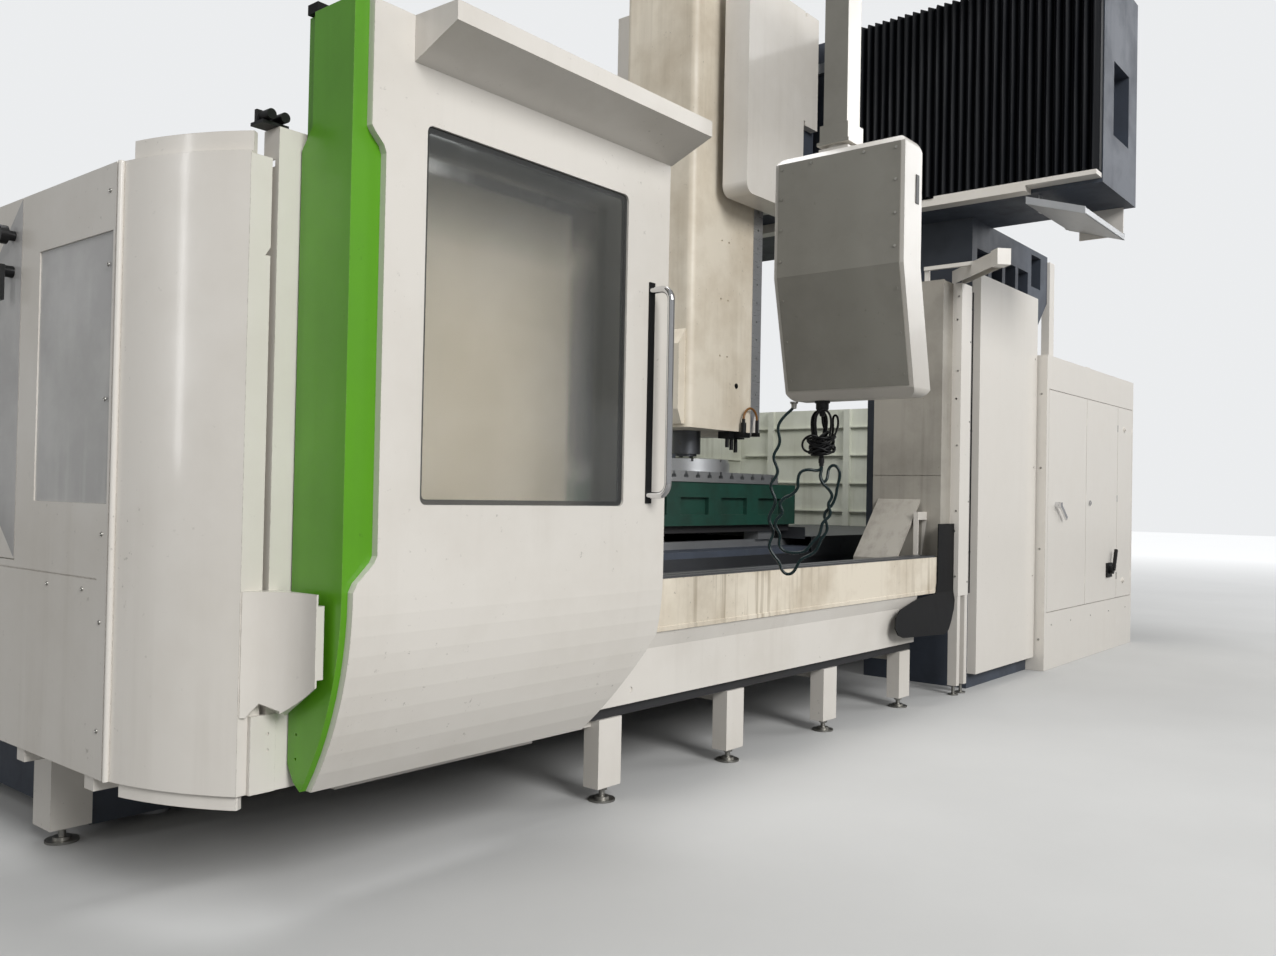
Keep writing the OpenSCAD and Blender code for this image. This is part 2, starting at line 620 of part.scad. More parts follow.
// Support arm at the top of the jamb post with its end block and cable
module top_arm() {
  az = wall_top + 446;
  al = 520;
  color(white) {
    translate([post_x0 + 30, y_f + 40, az + gap]) rotate([0, 0, 227]) {
      difference() {
        translate([-40, -35, 0]) cube([al + 40, 70, 88]);
        translate([-60, -31, -1]) cube([al + 60, 62, 85]);
      }
      translate([al - 1, -42, -2]) cube([90, 84, 96]);
    }
    bx([inner_x - 12, y_f - 250, az + 70], [inner_x + 12, y_f + 200, az + 94]);
    bx([inner_x, y_f + 170, az + 4 + gap], [inner_x + 20, y_f + 200, az + 71]);
  }
  color(black) {
    translate([post_x1 + 70, y_f + 30, 640]) cylinder(d = 9, h = 1980, $fn = 16);
    for (z = [900, 1700, 2500]) bx([post_x1 + gap, y_f + 26, z], [post_x1 + 75, y_f + 34, z + 12]);
  }
}
// Black rubber apron over the right end of the sill
module apron() {
  yo = sill_yf - 10 - gap;
  color(black) intersection() {
    along_x(-220, post_x0 - gap) polygon([[yo, 1099], [yo, 668], [yo - 12, 600], [yo - 50, 400], [yo - 44, 400],
      [yo - 6, 600], [yo + 6, 668], [yo + 6, 1099]]);
    along_y(yo - 60, yo + 10) polygon([[open_x1 + gap, 1098], [open_x1 + gap, 740], [open_x1 - 25, 664], [200, 650],
      [-60, 601], [-130, 560], [-160, 501], [-135, 462], [-75, 442], [485, 415], [560, 436], [620, 485],
      [post_x0 - 30, 560], [post_x0 - gap, 610], [post_x0 - gap, 1098]]);
  }
}

// Rear and right-hand walls of the enclosure with posts and ribs
module enclosure_rear() {
  yi = y_b - wall_t;
  xi = x_r - wall_t;
  yw = cab_yb + 40;
  color(white) {
    bx([x_l + wall_t + gap, yi, skirt_z], [xi + 1, y_b, wall_top]);
    for (x = rear_posts) bx([x, yi - 60, 801], [x + 70, yi + 1, wall_top - 4]);
    for (z = [1250, 1650, 2050]) bx([x_l + 80, yi - 26, z], [xi - 30, yi + 1, z + 14]);
    bx([xi, yw, skirt_z], [x_r, y_b, wall_top]);
    for (i = [0 : 3]) bx([xi - 50, -1250 + i * 950, 801], [xi + 1, -1180 + i * 950, wall_top - 4]);
    for (z = [1100, 1400, 1700, 2000]) bx([xi - 30, yw + 3, z], [xi + 1, yi - 70, z + 12]);
    bx([cab_x0 + 20, yw - 28, skirt_z], [xi + 1, yw + 2, wall_top]);
    bx([cab_x0 + 22, yw - 27, wall_top - 1], [cab_x0 + 180, yw, cab_h + 22]);
  }
}
// Chip pan between the walls and the bed
module chip_pan() {
  w = bed_w / 2 + gap;
  color([0.45, 0.46, 0.46]) {
    bx([arc_cx - 560, sill_yf + 155, 780], [inner_x + 20, -w, 790]);
    bx([x_l + wall_t + gap, arc_cy + 20, 780], [arc_cx - 561, -w, 790]);
    bx([x_l + wall_t + gap, w, 780], [col_x0 - gap, y_b - wall_t - 61, 790]);
    bx([col_x0 - 1, w, 780], [col_x1 + 1, col_yi - gap, 790]);
    bx([col_x1 + gap, w, 780], [x_r - wall_t - gap, y_b - wall_t - 61, 790]);
    bx([col_x1 + 30, cab_yb + 43, 780], [x_r - wall_t - gap, -w, 790]);
    for (s = [-1, 1]) bx([-3900, s > 0 ? w + gap : -w - 12, 790], [3900, s > 0 ? w + 12 : -w - gap, 860]);
  }
}

// Electrical cabinet housing, open at the door side
module cabinet() {
  color(white) {
    difference() {
      bx([cab_x0, cab_yf + leaf_t + gap, 0], [cab_x1, cab_yb, cab_h]);
      bx([cab_x0 + 55, cab_yf - 1, cab_dz + 25], [cab_x1 - 60 - 435, cab_yb - 20, cab_dz + cab_dh - 25]);
      bx([cab_x1 - 435, cab_yf - 1, cab_dz + 25], [cab_x1 - 60, cab_yb - 20, cab_dz + cab_dh - 25]);
    }
    bx([cab_x0, cab_yf, 0], [cab_x1, cab_yf + leaf_t + gap, cab_dz - 5]);
    bx([cab_x0, cab_yf, cab_dz + cab_dh + 5], [cab_x1, cab_yf + leaf_t + gap, cab_h]);
    bx([cab_x0, cab_yf, cab_dz - 5], [cab_x0 + 45, cab_yf + leaf_t + gap, cab_dz + cab_dh + 5]);
    bx([cab_x1 - 25, cab_yf, cab_dz - 5], [cab_x1, cab_yf + leaf_t + gap, cab_dz + cab_dh + 5]);
    bx([cab_x0 + 1230, cab_yf + 90, cab_h], [cab_x0 + 1330, cab_yf + 160, cab_h + 42]);
  }
  color([0.75, 0.55, 0.2]) bx([cab_x0 + 120, cab_yb - 26, 560], [cab_x1 - 560, cab_yb - 20, 1950]);
  color(grey) for (z = [700, 1050, 1400, 1700]) for (x = [0 : 5])
    bx([cab_x0 + 190 + x * 240, cab_yb - 150, z], [cab_x0 + 370 + x * 240, cab_yb - 26, z + 190]);
}
leaf3_x = cab_x1 - 465;
leaf2_x = leaf3_x - 868;
leaf1_x = cab_x0 + 50;
leaf_gap = 8;
module leaf(x, w) {
  color(white) {
    bx([x, cab_yf, cab_dz], [x + w, cab_yf + leaf_t, cab_dz + cab_dh]);
    for (z = [cab_dz + 160, cab_dz + cab_dh / 2, cab_dz + cab_dh - 220]) translate([x + w, cab_yf, z]) cylinder(d = 8, h = 60);
  }
}
module lock_at(x, z) color(steel) {
  translate([x, cab_yf, z]) rotate([90, 0, 0]) cylinder(d = 46, h = 8);
  translate([x, cab_yf - 8, z]) rotate([90, 0, 0]) cylinder(d = 26, h = 8);
}
module cab_door_left() leaf(leaf1_x, leaf2_x - leaf_gap - leaf1_x);
module cab_door_right() {
  leaf(leaf2_x, leaf3_x - leaf_gap - leaf2_x);
  lock_at(leaf2_x + 85, 1245);
  color(steel) bx([leaf2_x + 560, cab_yf - 14, 620], [leaf2_x + 700, cab_yf, 740]);
}
module cab_door_side() {
  leaf(leaf3_x, cab_x1 - 30 - leaf3_x);
  for (z = [570, 1900]) lock_at(leaf3_x + 190, z);
}
// Swing handle of the left leaf
module cab_handle() {
  color(steel) {
    translate([leaf1_x + 170, cab_yf - gap, 1226]) rotate([90, 0, 0]) cylinder(d = 48, h = 26);
    bx([leaf1_x + 150, cab_yf - 46, 1206], [leaf1_x + 190, cab_yf - 26, 1246]);
    translate([leaf1_x + 170, cab_yf - 44, 1226]) rotate([0, 36, 0]) translate([0, 0, -15]) cube([175, 15, 30]);
  }
}
// Main switch lever on the middle leaf
module switch_lever() {
  color(black) {
    translate([leaf2_x + 630, cab_yf - 14 - gap, 680]) rotate([90, 0, 0]) cylinder(d = 64, h = 30);
    translate([leaf2_x + 630, cab_yf - 40, 680]) rotate([0, -68, 0]) translate([0, -16, -14]) cube([185, 24, 28]);
  }
}

// Outer curve of the door at a given height, offset o from the white face
function dy(z) = z >= curve_z ? 0 : curve_r - sqrt(curve_r * curve_r - (curve_z - z) * (curve_z - z));
module door_section(o, t, z0, z1, n = 10) {
  zs = [for (i = [0 : n]) z0 + (min(curve_z, z1) - z0) * i / n];
  polygon(concat([for (z = zs) [door_yf + o + dy(z), z]], [[door_yf + o, z1], [door_yf + o + t, z1]],
    [for (i = [n : -1 : 0]) [door_yf + o + t + dy(zs[i]), zs[i]]]));
}
// White front skin with its stepped left edge, cut lower corner and window
module door_skin() {
  e1 = door_x0 + 48;
  e2 = door_x0 + 98;
  e3 = door_x0 + 20;
  win_x0 = door_x0 + 244;
  color(white) difference() {
    intersection() {
      along_x(door_x0, door_x1) door_section(0, skin_t, skirt_z, door_top);
      along_y(door_yf - 1, door_yb) polygon([[e1, door_top + 1], [e1, 2268], [e1 + 9, 2254], [e2 - 9, 2222],
        [e2, 2200], [e2, 1060], [e2 - 10, 1040], [e3 + 12, 985], [e3, 960], [e3, skirt_z - 1],
        [door_x1 - 240, skirt_z - 1], [door_x1, 720], [door_x1, door_top + 1]]);
    }
    translate([win_x0, door_yf - 1, win_z]) xz_plate(win_w, win_h, skin_t + 2, 22);
  }
  color(grey) difference() {
    intersection() {
      along_x(door_x1 - 14, door_x1) door_section(skin_t, 120, 725, door_top);
      bx([door_x1 - 15, door_yf, 700], [door_x1 + 1, door_yb, door_top + 1]);
    }
  }
}
// Green door body: left side return, recessed strip and back frame
module door_frame() {
  back = [[side_y1, door_top], [side_y1, rail_z - 45], [door_yb, rail_z - 105], [door_yb, skirt_z + 70], [door_yb - 30, skirt_z + 22]];
  zs = [for (i = [0 : 10]) skirt_z + (curve_z - skirt_z) * i / 10];
  yo = door_yf + skin_t + gap;
  color(green) difference() {
    along_x(door_x0, door_x0 + 120) polygon(concat([for (z = zs) [yo + dy(z), z]], [[yo, door_top]], back));
    along_x(door_x0 + 18, door_x0 + 121) polygon(concat([for (z = zs) [yo + 8 + dy(z), z]],
      [[yo + 8, door_top + 1], [door_yb + 1, door_top + 1], [door_yb + 1, skirt_z]]));
    for (z = [fair_z0 - 60, fair_z0 - 130]) translate([door_x0 - 1, door_yb - 40, z]) rotate([0, 90, 0]) cylinder(d = 9, h = 20);
  }
  color(grey) difference() {
    bx([door_x0 + 17, side_y1 + 0.5, 961], [door_x1 - 14 - gap, door_yb - 0.5, door_top - 0.5]);
    bx([door_x0 + 150, side_y1 - 1, 1120], [door_x1 - 120, door_yb + 1, 2440]);
  }
  color(grey) for (z = [1010, 2500]) bx([door_x0 + 130, yo, z], [door_x1 - 15 - gap, side_y1 + 1, z + 40]);
  color(grey) bx([door_x0 + 140, side_y1 + 4, rail_z - 8], [door_x1 - 110, door_yb - 4, rail_z + 50]);
  color(grey) bx([door_x1 - 150, side_y1 - 40, sill_z + 30], [door_x1 - 50, sill_yf + 36, sill_z + 56]);
  color(grey) bx([door_x1 - 148, side_y1 - 38, sill_z + 31], [door_x1 - 52, side_y1 + 1, 980]);
  color(steel) for (x = [door_x1 - 126, door_x1 - 74]) translate([x, sill_yf + 34, sill_z + 10 + gap + 15])
    rotate([90, 0, 0]) cylinder(d = 30, h = 22);
  color(black) bx([door_x0 + 2, door_yb - 60, door_top + gap], [door_x0 + 90, door_yb - 10, door_top + 30]);
}
// Window pane with its dark gasket
module door_glass() {
  win_x0 = door_x0 + 244;
  color([0.6, 0.65, 0.6]) translate([win_x0 + gap, door_yf + 8, win_z + gap]) xz_plate(win_w - 2 * gap, win_h - 2 * gap, 8, 22);
  color(black) difference() {
    translate([win_x0 + gap, door_yf + 16, win_z + gap]) xz_plate(win_w - 2 * gap, win_h - 2 * gap, 8, 22);
    translate([win_x0 + 16, door_yf + 15, win_z + 16]) xz_plate(win_w - 32, win_h - 32, 10, 14);
  }
}
// Wedge canopy over the window
module door_canopy() {
  cx0 = door_x0 + 190;
  z0 = door_top - 136;
  color(white) difference() {
    along_x(cx0, door_x1 + 6) polygon([[door_yf - gap, z0], [door_yf - canopy_d, z0 + 75],
      [door_yf - canopy_d, z0 + 132], [door_yf - gap, z0 + 136]]);
    along_x(cx0 + 6, door_x1) polygon([[door_yf + 1, z0 + 8], [door_yf - canopy_d + 7, z0 + 82],
      [door_yf - canopy_d + 7, z0 + 126], [door_yf + 1, z0 + 129]]);
  }
}
// Bow handle on its dark backing strip
module door_handle() {
  hx = door_x1 - 105;
  z0 = 1235;
  r = 45;
  color([0.2, 0.2, 0.2]) bx([hx - 12, door_yf - 5 - gap, z0 - 20], [hx + 20, door_yf - gap, z0 + handle_l + 20]);
  color(steel) translate([hx + 2, 0, 0]) {
    for (z = [z0 + 10, z0 + handle_l - 10]) translate([0, door_yf - 5 - gap, z]) rotate([90, 0, 0])
      cylinder(d = handle_dia, h = handle_off - r + 2);
    translate([0, door_yf - 5 - handle_off, z0 + 8 + r]) cylinder(d = handle_dia, h = handle_l - 16 - 2 * r);
    translate([0, door_yf - 5 - handle_off + r, z0 + 10 + r]) rotate([0, 90, 0]) rotate([0, 0, -90])
      rotate_extrude(angle = 90) translate([r, 0]) circle(d = handle_dia + 0.6);
    translate([0, door_yf - 5 - handle_off + r, z0 + handle_l - 10 - r]) rotate([0, 90, 0]) rotate([0, 0, 180])
      rotate_extrude(angle = 90) translate([r, 0]) circle(d = handle_dia + 0.6);
  }
}

// Steel table plate with cross T-slots that open at its front edge
module table_plate() {
  x1 = plate_x0 + table_l;
  n = floor((table_l - 120) / slot_p);
  color(steel) difference() {
    bx([plate_x0, -table_w / 2, cast_z1 + gap], [x1, table_w / 2, table_z]);
    for (i = [0 : n - 1]) translate([x1 - 70 - i * slot_p, 0, 0]) {
      bx([-slot_w / 2, -table_w / 2 - 1, table_z - 22], [slot_w / 2, table_w / 2 + 1, table_z + 1]);
      bx([-slot_w, -table_w / 2 - 1, table_z - 42], [slot_w, table_w / 2 + 1, table_z - 22]);
    }
  }
}
// Green table casting with the carriages of the linear rails
module table_casting() {
  color(dark_green) difference() {
    bx([cast_x0, -table_w / 2 + 10, cast_z0 + 60], [cast_x1, table_w / 2 - 10, cast_z1]);
    for (s = [-1, 1]) for (i = [0 : 5])
      translate([cast_x0 + 180 + i * 440, s > 0 ? table_w / 2 - 40 : -table_w / 2 + 9, cast_z0 + 130]) cube([300, 31, 110]);
    bx([cast_x0 + 200, -500, cast_z0 + 59], [cast_x1 - 200, 500, cast_z0 + 200]);
  }
  color(black) bx([cast_x0, -table_w / 2 + 60, cast_z0 + 12], [cast_x1, table_w / 2 - 60, cast_z0 + 60]);
  color(steel) for (s = [-1, 1]) for (x = [cast_x0 + 150, cast_x1 - 350])
    bx([x, s * 700 - 60, bed_z + 48 + gap], [x + 200, s * 700 + 60, cast_z0 + 12]);
  color([0.3, 0.3, 0.3]) bx([-750, -60, bed_z - 25], [-550, 60, cast_z0 + 12]);
}
// Round faceplate on the table
module disc() {
  color(steel) translate([ram_xc, ram_yc, table_z + gap]) difference() {
    union() {
      cylinder(d = disc_d, h = disc_t - 22, $fn = 120);
      translate([0, 0, disc_t - 22]) cylinder(d = disc_d - 16, h = 22 - 2, $fn = 120);
    }
    translate([0, 0, disc_t - 25]) cylinder(d = 90, h = 30);
    for (a = [0 : 45 : 315]) rotate([0, 0, a]) translate([120, -9, disc_t - 20]) cube([disc_d / 2, 18, 30]);
  }
}
// Telescopic steel way covers: each segment slides over the one outside it
cover_step = 12;
sheet_t = 6;
module way_seg(x0, len, k, plate, lip) {
  w = bed_w / 2 + 22 + cover_step * k;
  h = bed_z + 54 + cover_step * k;
  pz0 = k == 0 ? bed_z + gap : bed_z + 51;
  color([0.13, 0.14, 0.15]) {
    difference() {
      bx([x0, -w, bed_z - 70], [x0 + len, w, h + sheet_t]);
      bx([x0 - 1, -w + sheet_t, bed_z - 71], [x0 + len + 1, w - sheet_t, h]);
    }
    if (plate != 0) bx([plate > 0 ? x0 + len - 8 : x0, -w + 60, pz0],
      [plate > 0 ? x0 + len : x0 + 8, w - 60, k == 0 ? h + 1 : cast_z0 + 40]);
    if (lip != 0) bx([lip > 0 ? x0 + len - 8 : x0, -w + cover_step, h + sheet_t - cover_step + gap],
      [lip > 0 ? x0 + len : x0 + 8, w - cover_step, h + 1]);
  }
}
module cover_left_a() way_seg(-way_x, seg_l, 0, -1, 0);
module cover_left_b() way_seg((-way_x + cast_x0 - seg_l) / 2, seg_l, 1, 0, -1);
module cover_left_c() way_seg(cast_x0 - gap - seg_l, seg_l, 2, 1, -1);
module cover_right_a() way_seg(cast_x1 + gap, seg_r, 1, -1, 1);
module cover_right_b() way_seg(way_x - seg_r, seg_r, 0, 1, 0);

// Saddle plate between the crossbeam rails and the ram rails
car_t = 60;
module saddle() {
  color([0.2, 0.22, 0.25]) bx([saddle_x0, saddle_y0 + 60, saddle_z0 + 40], [saddle_x1 - car_t, saddle_y1 - 60, saddle_top]);
  color(steel) for (z = [beam_z + 190, beam_top - 190]) for (y = [saddle_y0 + 90, saddle_y1 - 290])
    bx([saddle_x1 - car_t, y, z - 75], [saddle_x1, y + 200, z + 75]);
  color(steel) for (s = [-1, 1]) for (z = [beam_z + 60, beam_z + 560, beam_top - 220])
    bx([saddle_x0 - car_t, ram_yc + s * ram_rail_y - 60, z], [saddle_x0, ram_yc + s * ram_rail_y + 60, z + 180]);
}
// White shells on both sides of the ram, rounded at the lower edge
cover_r = 70;
cover_y = 185;
module cover_shell() {
  cz = saddle_z0;
  difference() {
    along_y(0, cover_y) union() {
      translate([cover_x0, cz + cover_r]) square([saddle_x0 - cover_x0 - gap, saddle_top - cz - cover_r]);
      translate([cover_x0 + cover_r, cz]) square([saddle_x0 - cover_x0 - cover_r - gap, saddle_top - cz]);
      translate([cover_x0 + cover_r, cz + cover_r]) circle(cover_r);
    }
    bx([cover_x0 + 12, 12, cz + cover_r + 10], [saddle_x0 - 20, cover_y + 1, saddle_top - 12]);
    bx([cover_x0 + cover_r, 12, cz + 12], [saddle_x0 - 20, cover_y + 1, cz + cover_r + 11]);
  }
}
module saddle_cover() {
  color(white) for (s = [-1, 1]) translate([0, ram_yc, 0]) mirror([0, s > 0 ? 1 : 0, 0]) {
    translate([0, -saddle_w / 2 + 5, 0]) cover_shell();
    bx([saddle_x0 + 20, -saddle_w / 2 + 5, saddle_z0 + 610], [saddle_x1 - car_t - 40, -saddle_w / 2 + 60 - gap, saddle_top]);
    bx([saddle_x0 - 40, -saddle_w / 2 + 5, saddle_z0 + 640], [saddle_x0 + 21, -saddle_w / 2 + 35, saddle_top - 30]);
  }
}

// Ram with its chamfered head and screw patterns
module ram() {
  y0 = ram_yc - ram_d / 2;
  y1 = ram_yc + ram_d / 2;
  color(cream) difference() {
    union() {
      translate([ram_x0, y0, ram_z]) linear_extrude(ram_top - ram_z) rsq(ram_w, ram_d, 45);
      along_y(y0 + 40, y1 - 40) polygon([[ram_x0 + 20, ram_z + 20], [ram_x0 + 20, ram_z + 650], [ram_x0 - 70, ram_z + 520],
        [ram_x0 - 70, ram_z + 110], [ram_x0 - 30, ram_z + 20]]);
    }
    for (z = [ram_z + 480, ram_z + 850, ram_z + 1230]) for (x = [-40, 40])
      translate([ram_xc + x, y0 - 1, z]) rotate([-90, 0, 0]) cylinder(d = 14, h = 12, $fn = 16);
    for (k = [0, 1]) for (y = [-50, 50]) for (z = [-42, 42])
      translate([ram_x0 - 71, ram_yc - 60 + y, ram_z + 210 + k * 190 + z]) rotate([0, 90, 0]) cylinder(d = 12, h = 12, $fn = 16);
  }
  color([0.15, 0.15, 0.15]) {
    translate([ram_xc - 10, ram_yc, ram_top]) cylinder(d = 260, h = 260);
    bx([ram_xc - 120, ram_yc - 110, ram_top + 260], [ram_xc + 100, ram_yc + 110, ram_top + 330]);
    translate([ram_xc + 150, y0 + 2, ram_z + 300]) rotate([90, 0, 0]) cylinder(d = 34, h = 7);
  }
}
// Linear rails on the back of the ram, drilled along their length
module ram_rails() {
  color(steel) for (s = [-1, 1]) difference() {
    bx([ram_x1 + gap, ram_yc + s * ram_rail_y - 45, ram_z + 40], [saddle_x0 - car_t - gap, ram_yc + s * ram_rail_y + 45, ram_top - 40]);
    for (i = [0 : 24]) translate([(ram_x1 + saddle_x0 - car_t) / 2, ram_yc + s * (ram_rail_y + 46), ram_z + 140 + i * 125])
      rotate([s < 0 ? -90 : 90, 0, 0]) cylinder(d = 20, h = 18, $fn = 16);
  }
  color(white) bx([ram_x1 + gap, ram_yc - 270, ram_z - 20], [saddle_x0 - car_t - gap, ram_yc + 270, ram_z + 40]);
  color(steel) translate([ram_x1 + 60, ram_yc, ram_z + 39]) cylinder(d = 50, h = ram_top - ram_z - 80);
}
// Spindle nose with drive keys and taper bore
module spindle() {
  z0 = table_z + disc_t + 22;
  color([0.15, 0.15, 0.16]) translate([ram_xc, ram_yc, 0]) difference() {
    union() {
      translate([0, 0, z0 + 14]) cylinder(d = nose_d, h = ram_z - z0 - 14 - gap);
      translate([0, 0, z0]) cylinder(d = nose_d - 50, h = 15);
      for (s = [-1, 1]) translate([s * 55 - 12, -8, z0 - 8]) cube([24, 16, 20]);
    }
    translate([0, 0, z0 - 1]) cylinder(d = 70, h = 100);
  }
}
// Coolant block with nozzles, valve and an arched hose beside the spindle
module coolant_line() {
  y0 = ram_yc - ram_d / 2;
  hz = ram_z + 60;
  hy = y0 - 32;
  hx = ram_xc + 200;
  hr = 80;
  color(black) {
    bx([ram_xc + 110, y0 + 20, ram_z - 46], [ram_xc + 290, y0 + 110, ram_z - gap]);
    for (p = [[130, 60], [180, 75], [230, 90]]) translate([ram_xc + p[0], y0 + 50, ram_z - 46 - p[1]]) cylinder(d = 26, h = p[1] + 1, $fn = 20);
    bx([hx - 35, y0 - 60, ram_z - 40], [hx + 35, y0 + 21, ram_z - 8]);
    translate([hx, hy, ram_z - 9]) cylinder(d = 36, h = hz - ram_z + 9);
    translate([hx, hy, hz - 1]) cylinder(d = 22, h = 26);
    translate([hx + 2 * hr, hy, hz - 60]) cylinder(d = 22, h = 85);
    bx([hx + 2 * hr - 18, hy - 14, hz - 84], [hx + 2 * hr + 18, y0 - gap, hz - 59]);
  }
  color([0.45, 0.25, 0.08]) translate([hx + hr, hy, hz + 20]) rotate([90, 0, 0])
    rotate_extrude(angle = 180) translate([hr, 0]) circle(d = 15);
}

// Overhead swivel boom on the crossbeam
module boom_arm() {
  a = atan2(tube_y - post_y, tube_x - post_x);
  l = sqrt(pow(tube_y - post_y, 2) + pow(tube_x - post_x, 2));
  color(white) {
    translate([post_x, post_y, beam_top + 60 + gap]) cylinder(d = 150, h = boom_z - beam_top - 60);
    translate([post_x, post_y, beam_top + 60 + gap]) cylinder(d = 220, h = 24);
    translate([post_x, post_y, boom_z]) rotate([0, 0, a]) {
      translate([-70, -60, 0]) cube([l + 140, 120, 140]);
      translate([-90, -50, -60]) cube([260, 100, 61]);
      translate([l, 0, -30]) cylinder(d = 130, h = 31);
    }
  }
}
// Square drop tube with its collar
module drop_arm() {
  color(white) translate([tube_x, tube_y, 0]) {
    translate([-arm_s / 2, -arm_s / 2, pen_top + 100]) cube([arm_s, arm_s, boom_z - 30 - gap - pen_top - 100]);
    translate([-60, -60, pen_top + 42]) cube([120, 120, 66]);
    translate([-68, -68, pen_top + 30 + gap]) cube([136, 136, 13]);
  }
}
// Side outline of the pendant housing in the XZ plane
// Gland and hose under the pendant
cord_x = pen_xc + pen_lo * sin(pen_tilt) - 10;
cord_y = pen_yc + 139;
hose_y = pen_yc + 255;
hose_z = 1010;
// True slope of the lower half
pen_a = atan2(pen_lo * sin(pen_tilt), pen_top - pen_up - pen_z - 30);
function pen_pts(o) = [
  [-pen_d / 2 + o, pen_top - 24 + o / 2], [-pen_d / 2 + 22, pen_top - o], [pen_d / 2 - 40, pen_top - o],
  [pen_d / 2 - o, pen_top - 40 + o / 2], [pen_d / 2 - o, pen_top - pen_up],
  [pen_d / 2 - o + pen_lo * sin(pen_tilt), pen_z + 30], [pen_d / 2 - 30 + pen_lo * sin(pen_tilt), pen_z + o],
  [-pen_d / 2 + 30 + pen_lo * sin(pen_tilt), pen_z + o], [-pen_d / 2 + o + pen_lo * sin(pen_tilt), pen_z + 30],
  [-pen_d / 2 + o, pen_top - pen_up]];
module pendant_housing() {
  color(white) translate([pen_xc, pen_yc, 0]) {
    intersection() {
      along_y(-pen_w / 2, pen_w / 2) polygon(pen_pts(0));
      translate([-400, 0, 0]) rotate([90, 0, 90]) linear_extrude(900)
        translate([-pen_w / 2, pen_z]) rsq(pen_w, pen_top - pen_z, 34);
    }
    translate([tube_x - pen_xc, tube_y - pen_yc, pen_top - 1]) cylinder(d = 110, h = 31);
    translate([tube_x - pen_xc - 62, tube_y - pen_yc - 62, pen_top - 8]) cube([124, 124, 26]);
  }
}
// Flat back plate with screws round its edge
module pendant_back() {
  t = 5;
  zb = pen_top - pen_up;
  l = (zb - pen_z - 30) / cos(pen_a) - 8;
  color([0.52, 0.5, 0.47]) translate([pen_xc - pen_d / 2 - gap, pen_yc, 0]) {
    along_y(16 - pen_w / 2, pen_w / 2 - 16) polygon([[0, pen_top - 26], [-t, pen_top - 26], [-t, zb - t * tan(pen_a / 2)],
      [l * sin(pen_a) - t * cos(pen_a), zb - t * sin(pen_a) - l * cos(pen_a)], [l * sin(pen_a), zb - l * cos(pen_a)], [0, zb]]);
    for (s = [-1, 1]) {
      for (z = [60, 180, 300, 415]) translate([1 - t, s * (pen_w / 2 - 32), zb + z]) rotate([0, -90, 0])
        cylinder(d = 10, h = 4, $fn = 16);
      translate([0, 0, zb]) rotate([0, -pen_a, 0]) for (z = [-90, -250, -400])
        translate([1 - t, s * (pen_w / 2 - 32), z]) rotate([0, -90, 0]) cylinder(d = 10, h = 4, $fn = 16);
    }
    for (y = [-110, 110]) translate([1 - t, y, pen_top - 42]) rotate([0, -90, 0]) cylinder(d = 10, h = 4, $fn = 16);
  }
  color(black) bx([pen_xc + 18, pen_yc - pen_w / 2 - 3, pen_top - 235], [pen_xc + 42, pen_yc - pen_w / 2 - gap, pen_top - 130]);
}
// Screen on the operator side
module pendant_screen() {
  color(black) translate([pen_xc + pen_d / 2 + gap, pen_yc, 0])
    bx([0, -pen_w / 2 + 45, pen_top - pen_up + 90], [8, pen_w / 2 - 45, pen_top - 70]);
}
// Key field on the tilted lower half
module pendant_keys() {
  color([0.3, 0.3, 0.32]) translate([pen_xc + pen_d / 2 + gap, pen_yc, pen_top - pen_up]) rotate([0, -pen_a, 0]) {
    difference() {
      union() {
        bx([0, -pen_w / 2 + 40, -pen_lo + 60], [6, pen_w / 2 - 40, -30]);
        translate([5, pen_w / 2 - 90, -pen_lo + 110]) rotate([0, 90, 0]) cylinder(d = 52, h = 15);
      }
      translate([2, pen_w / 2 - 90, -pen_lo + 110]) rotate([0, 90, 0]) cylinder(d = estop_d + 0.1, h = 20);
    }
    for (i = [0 : 9]) for (k = [0 : 5]) bx([6, -pen_w / 2 + 60 + i * 27, -pen_lo + 160 + k * 38], [10, -pen_w / 2 + 80 + i * 27, -pen_lo + 188 + k * 38]);
    translate([6, -pen_w / 2 + 110, -pen_lo + 110]) rotate([0, 90, 0]) cylinder(d = 50, h = 6);
  }
}
// Emergency stop button
module estop() {
  color([0.75, 0.08, 0.06]) translate([pen_xc + pen_d / 2 + gap, pen_yc, pen_top - pen_up]) rotate([0, -pen_a, 0])
    translate([8, pen_w / 2 - 90, -pen_lo + 110]) rotate([0, 90, 0]) {
      cylinder(d = estop_d, h = 19);
      translate([0, 0, 18]) cylinder(d = 40, h = 14);
    }
}
// Feed override knob
module override_knob() {
  color(black) translate([pen_xc + pen_d / 2 + gap, pen_yc, pen_top - pen_up]) rotate([0, -pen_a, 0])
    translate([12 + gap, -pen_w / 2 + 110, -pen_lo + 110]) rotate([0, 90, 0]) {
      cylinder(d = 38, h = 18);
      translate([0, -3, 0]) cube([17, 6, 22]);
    }
}
// Gland and cable hank under the pendant
module pendant_cord() {
  color(black) translate([cord_x, cord_y, 0]) {
    translate([0, 0, pen_z - 30]) cylinder(d = 60, h = 30 - gap);
    translate([0, 0, pen_z - 60]) cylinder(d = 34, h = 31);
    translate([0, 0, pen_z - 190]) cylinder(d = 100, h = 131);
    translate([0, 0, pen_z - 190]) sphere(d = 100);
    translate([0, -44, pen_z - 300]) cylinder(d = 23, h = 120);
  }
  hose_loop();
}

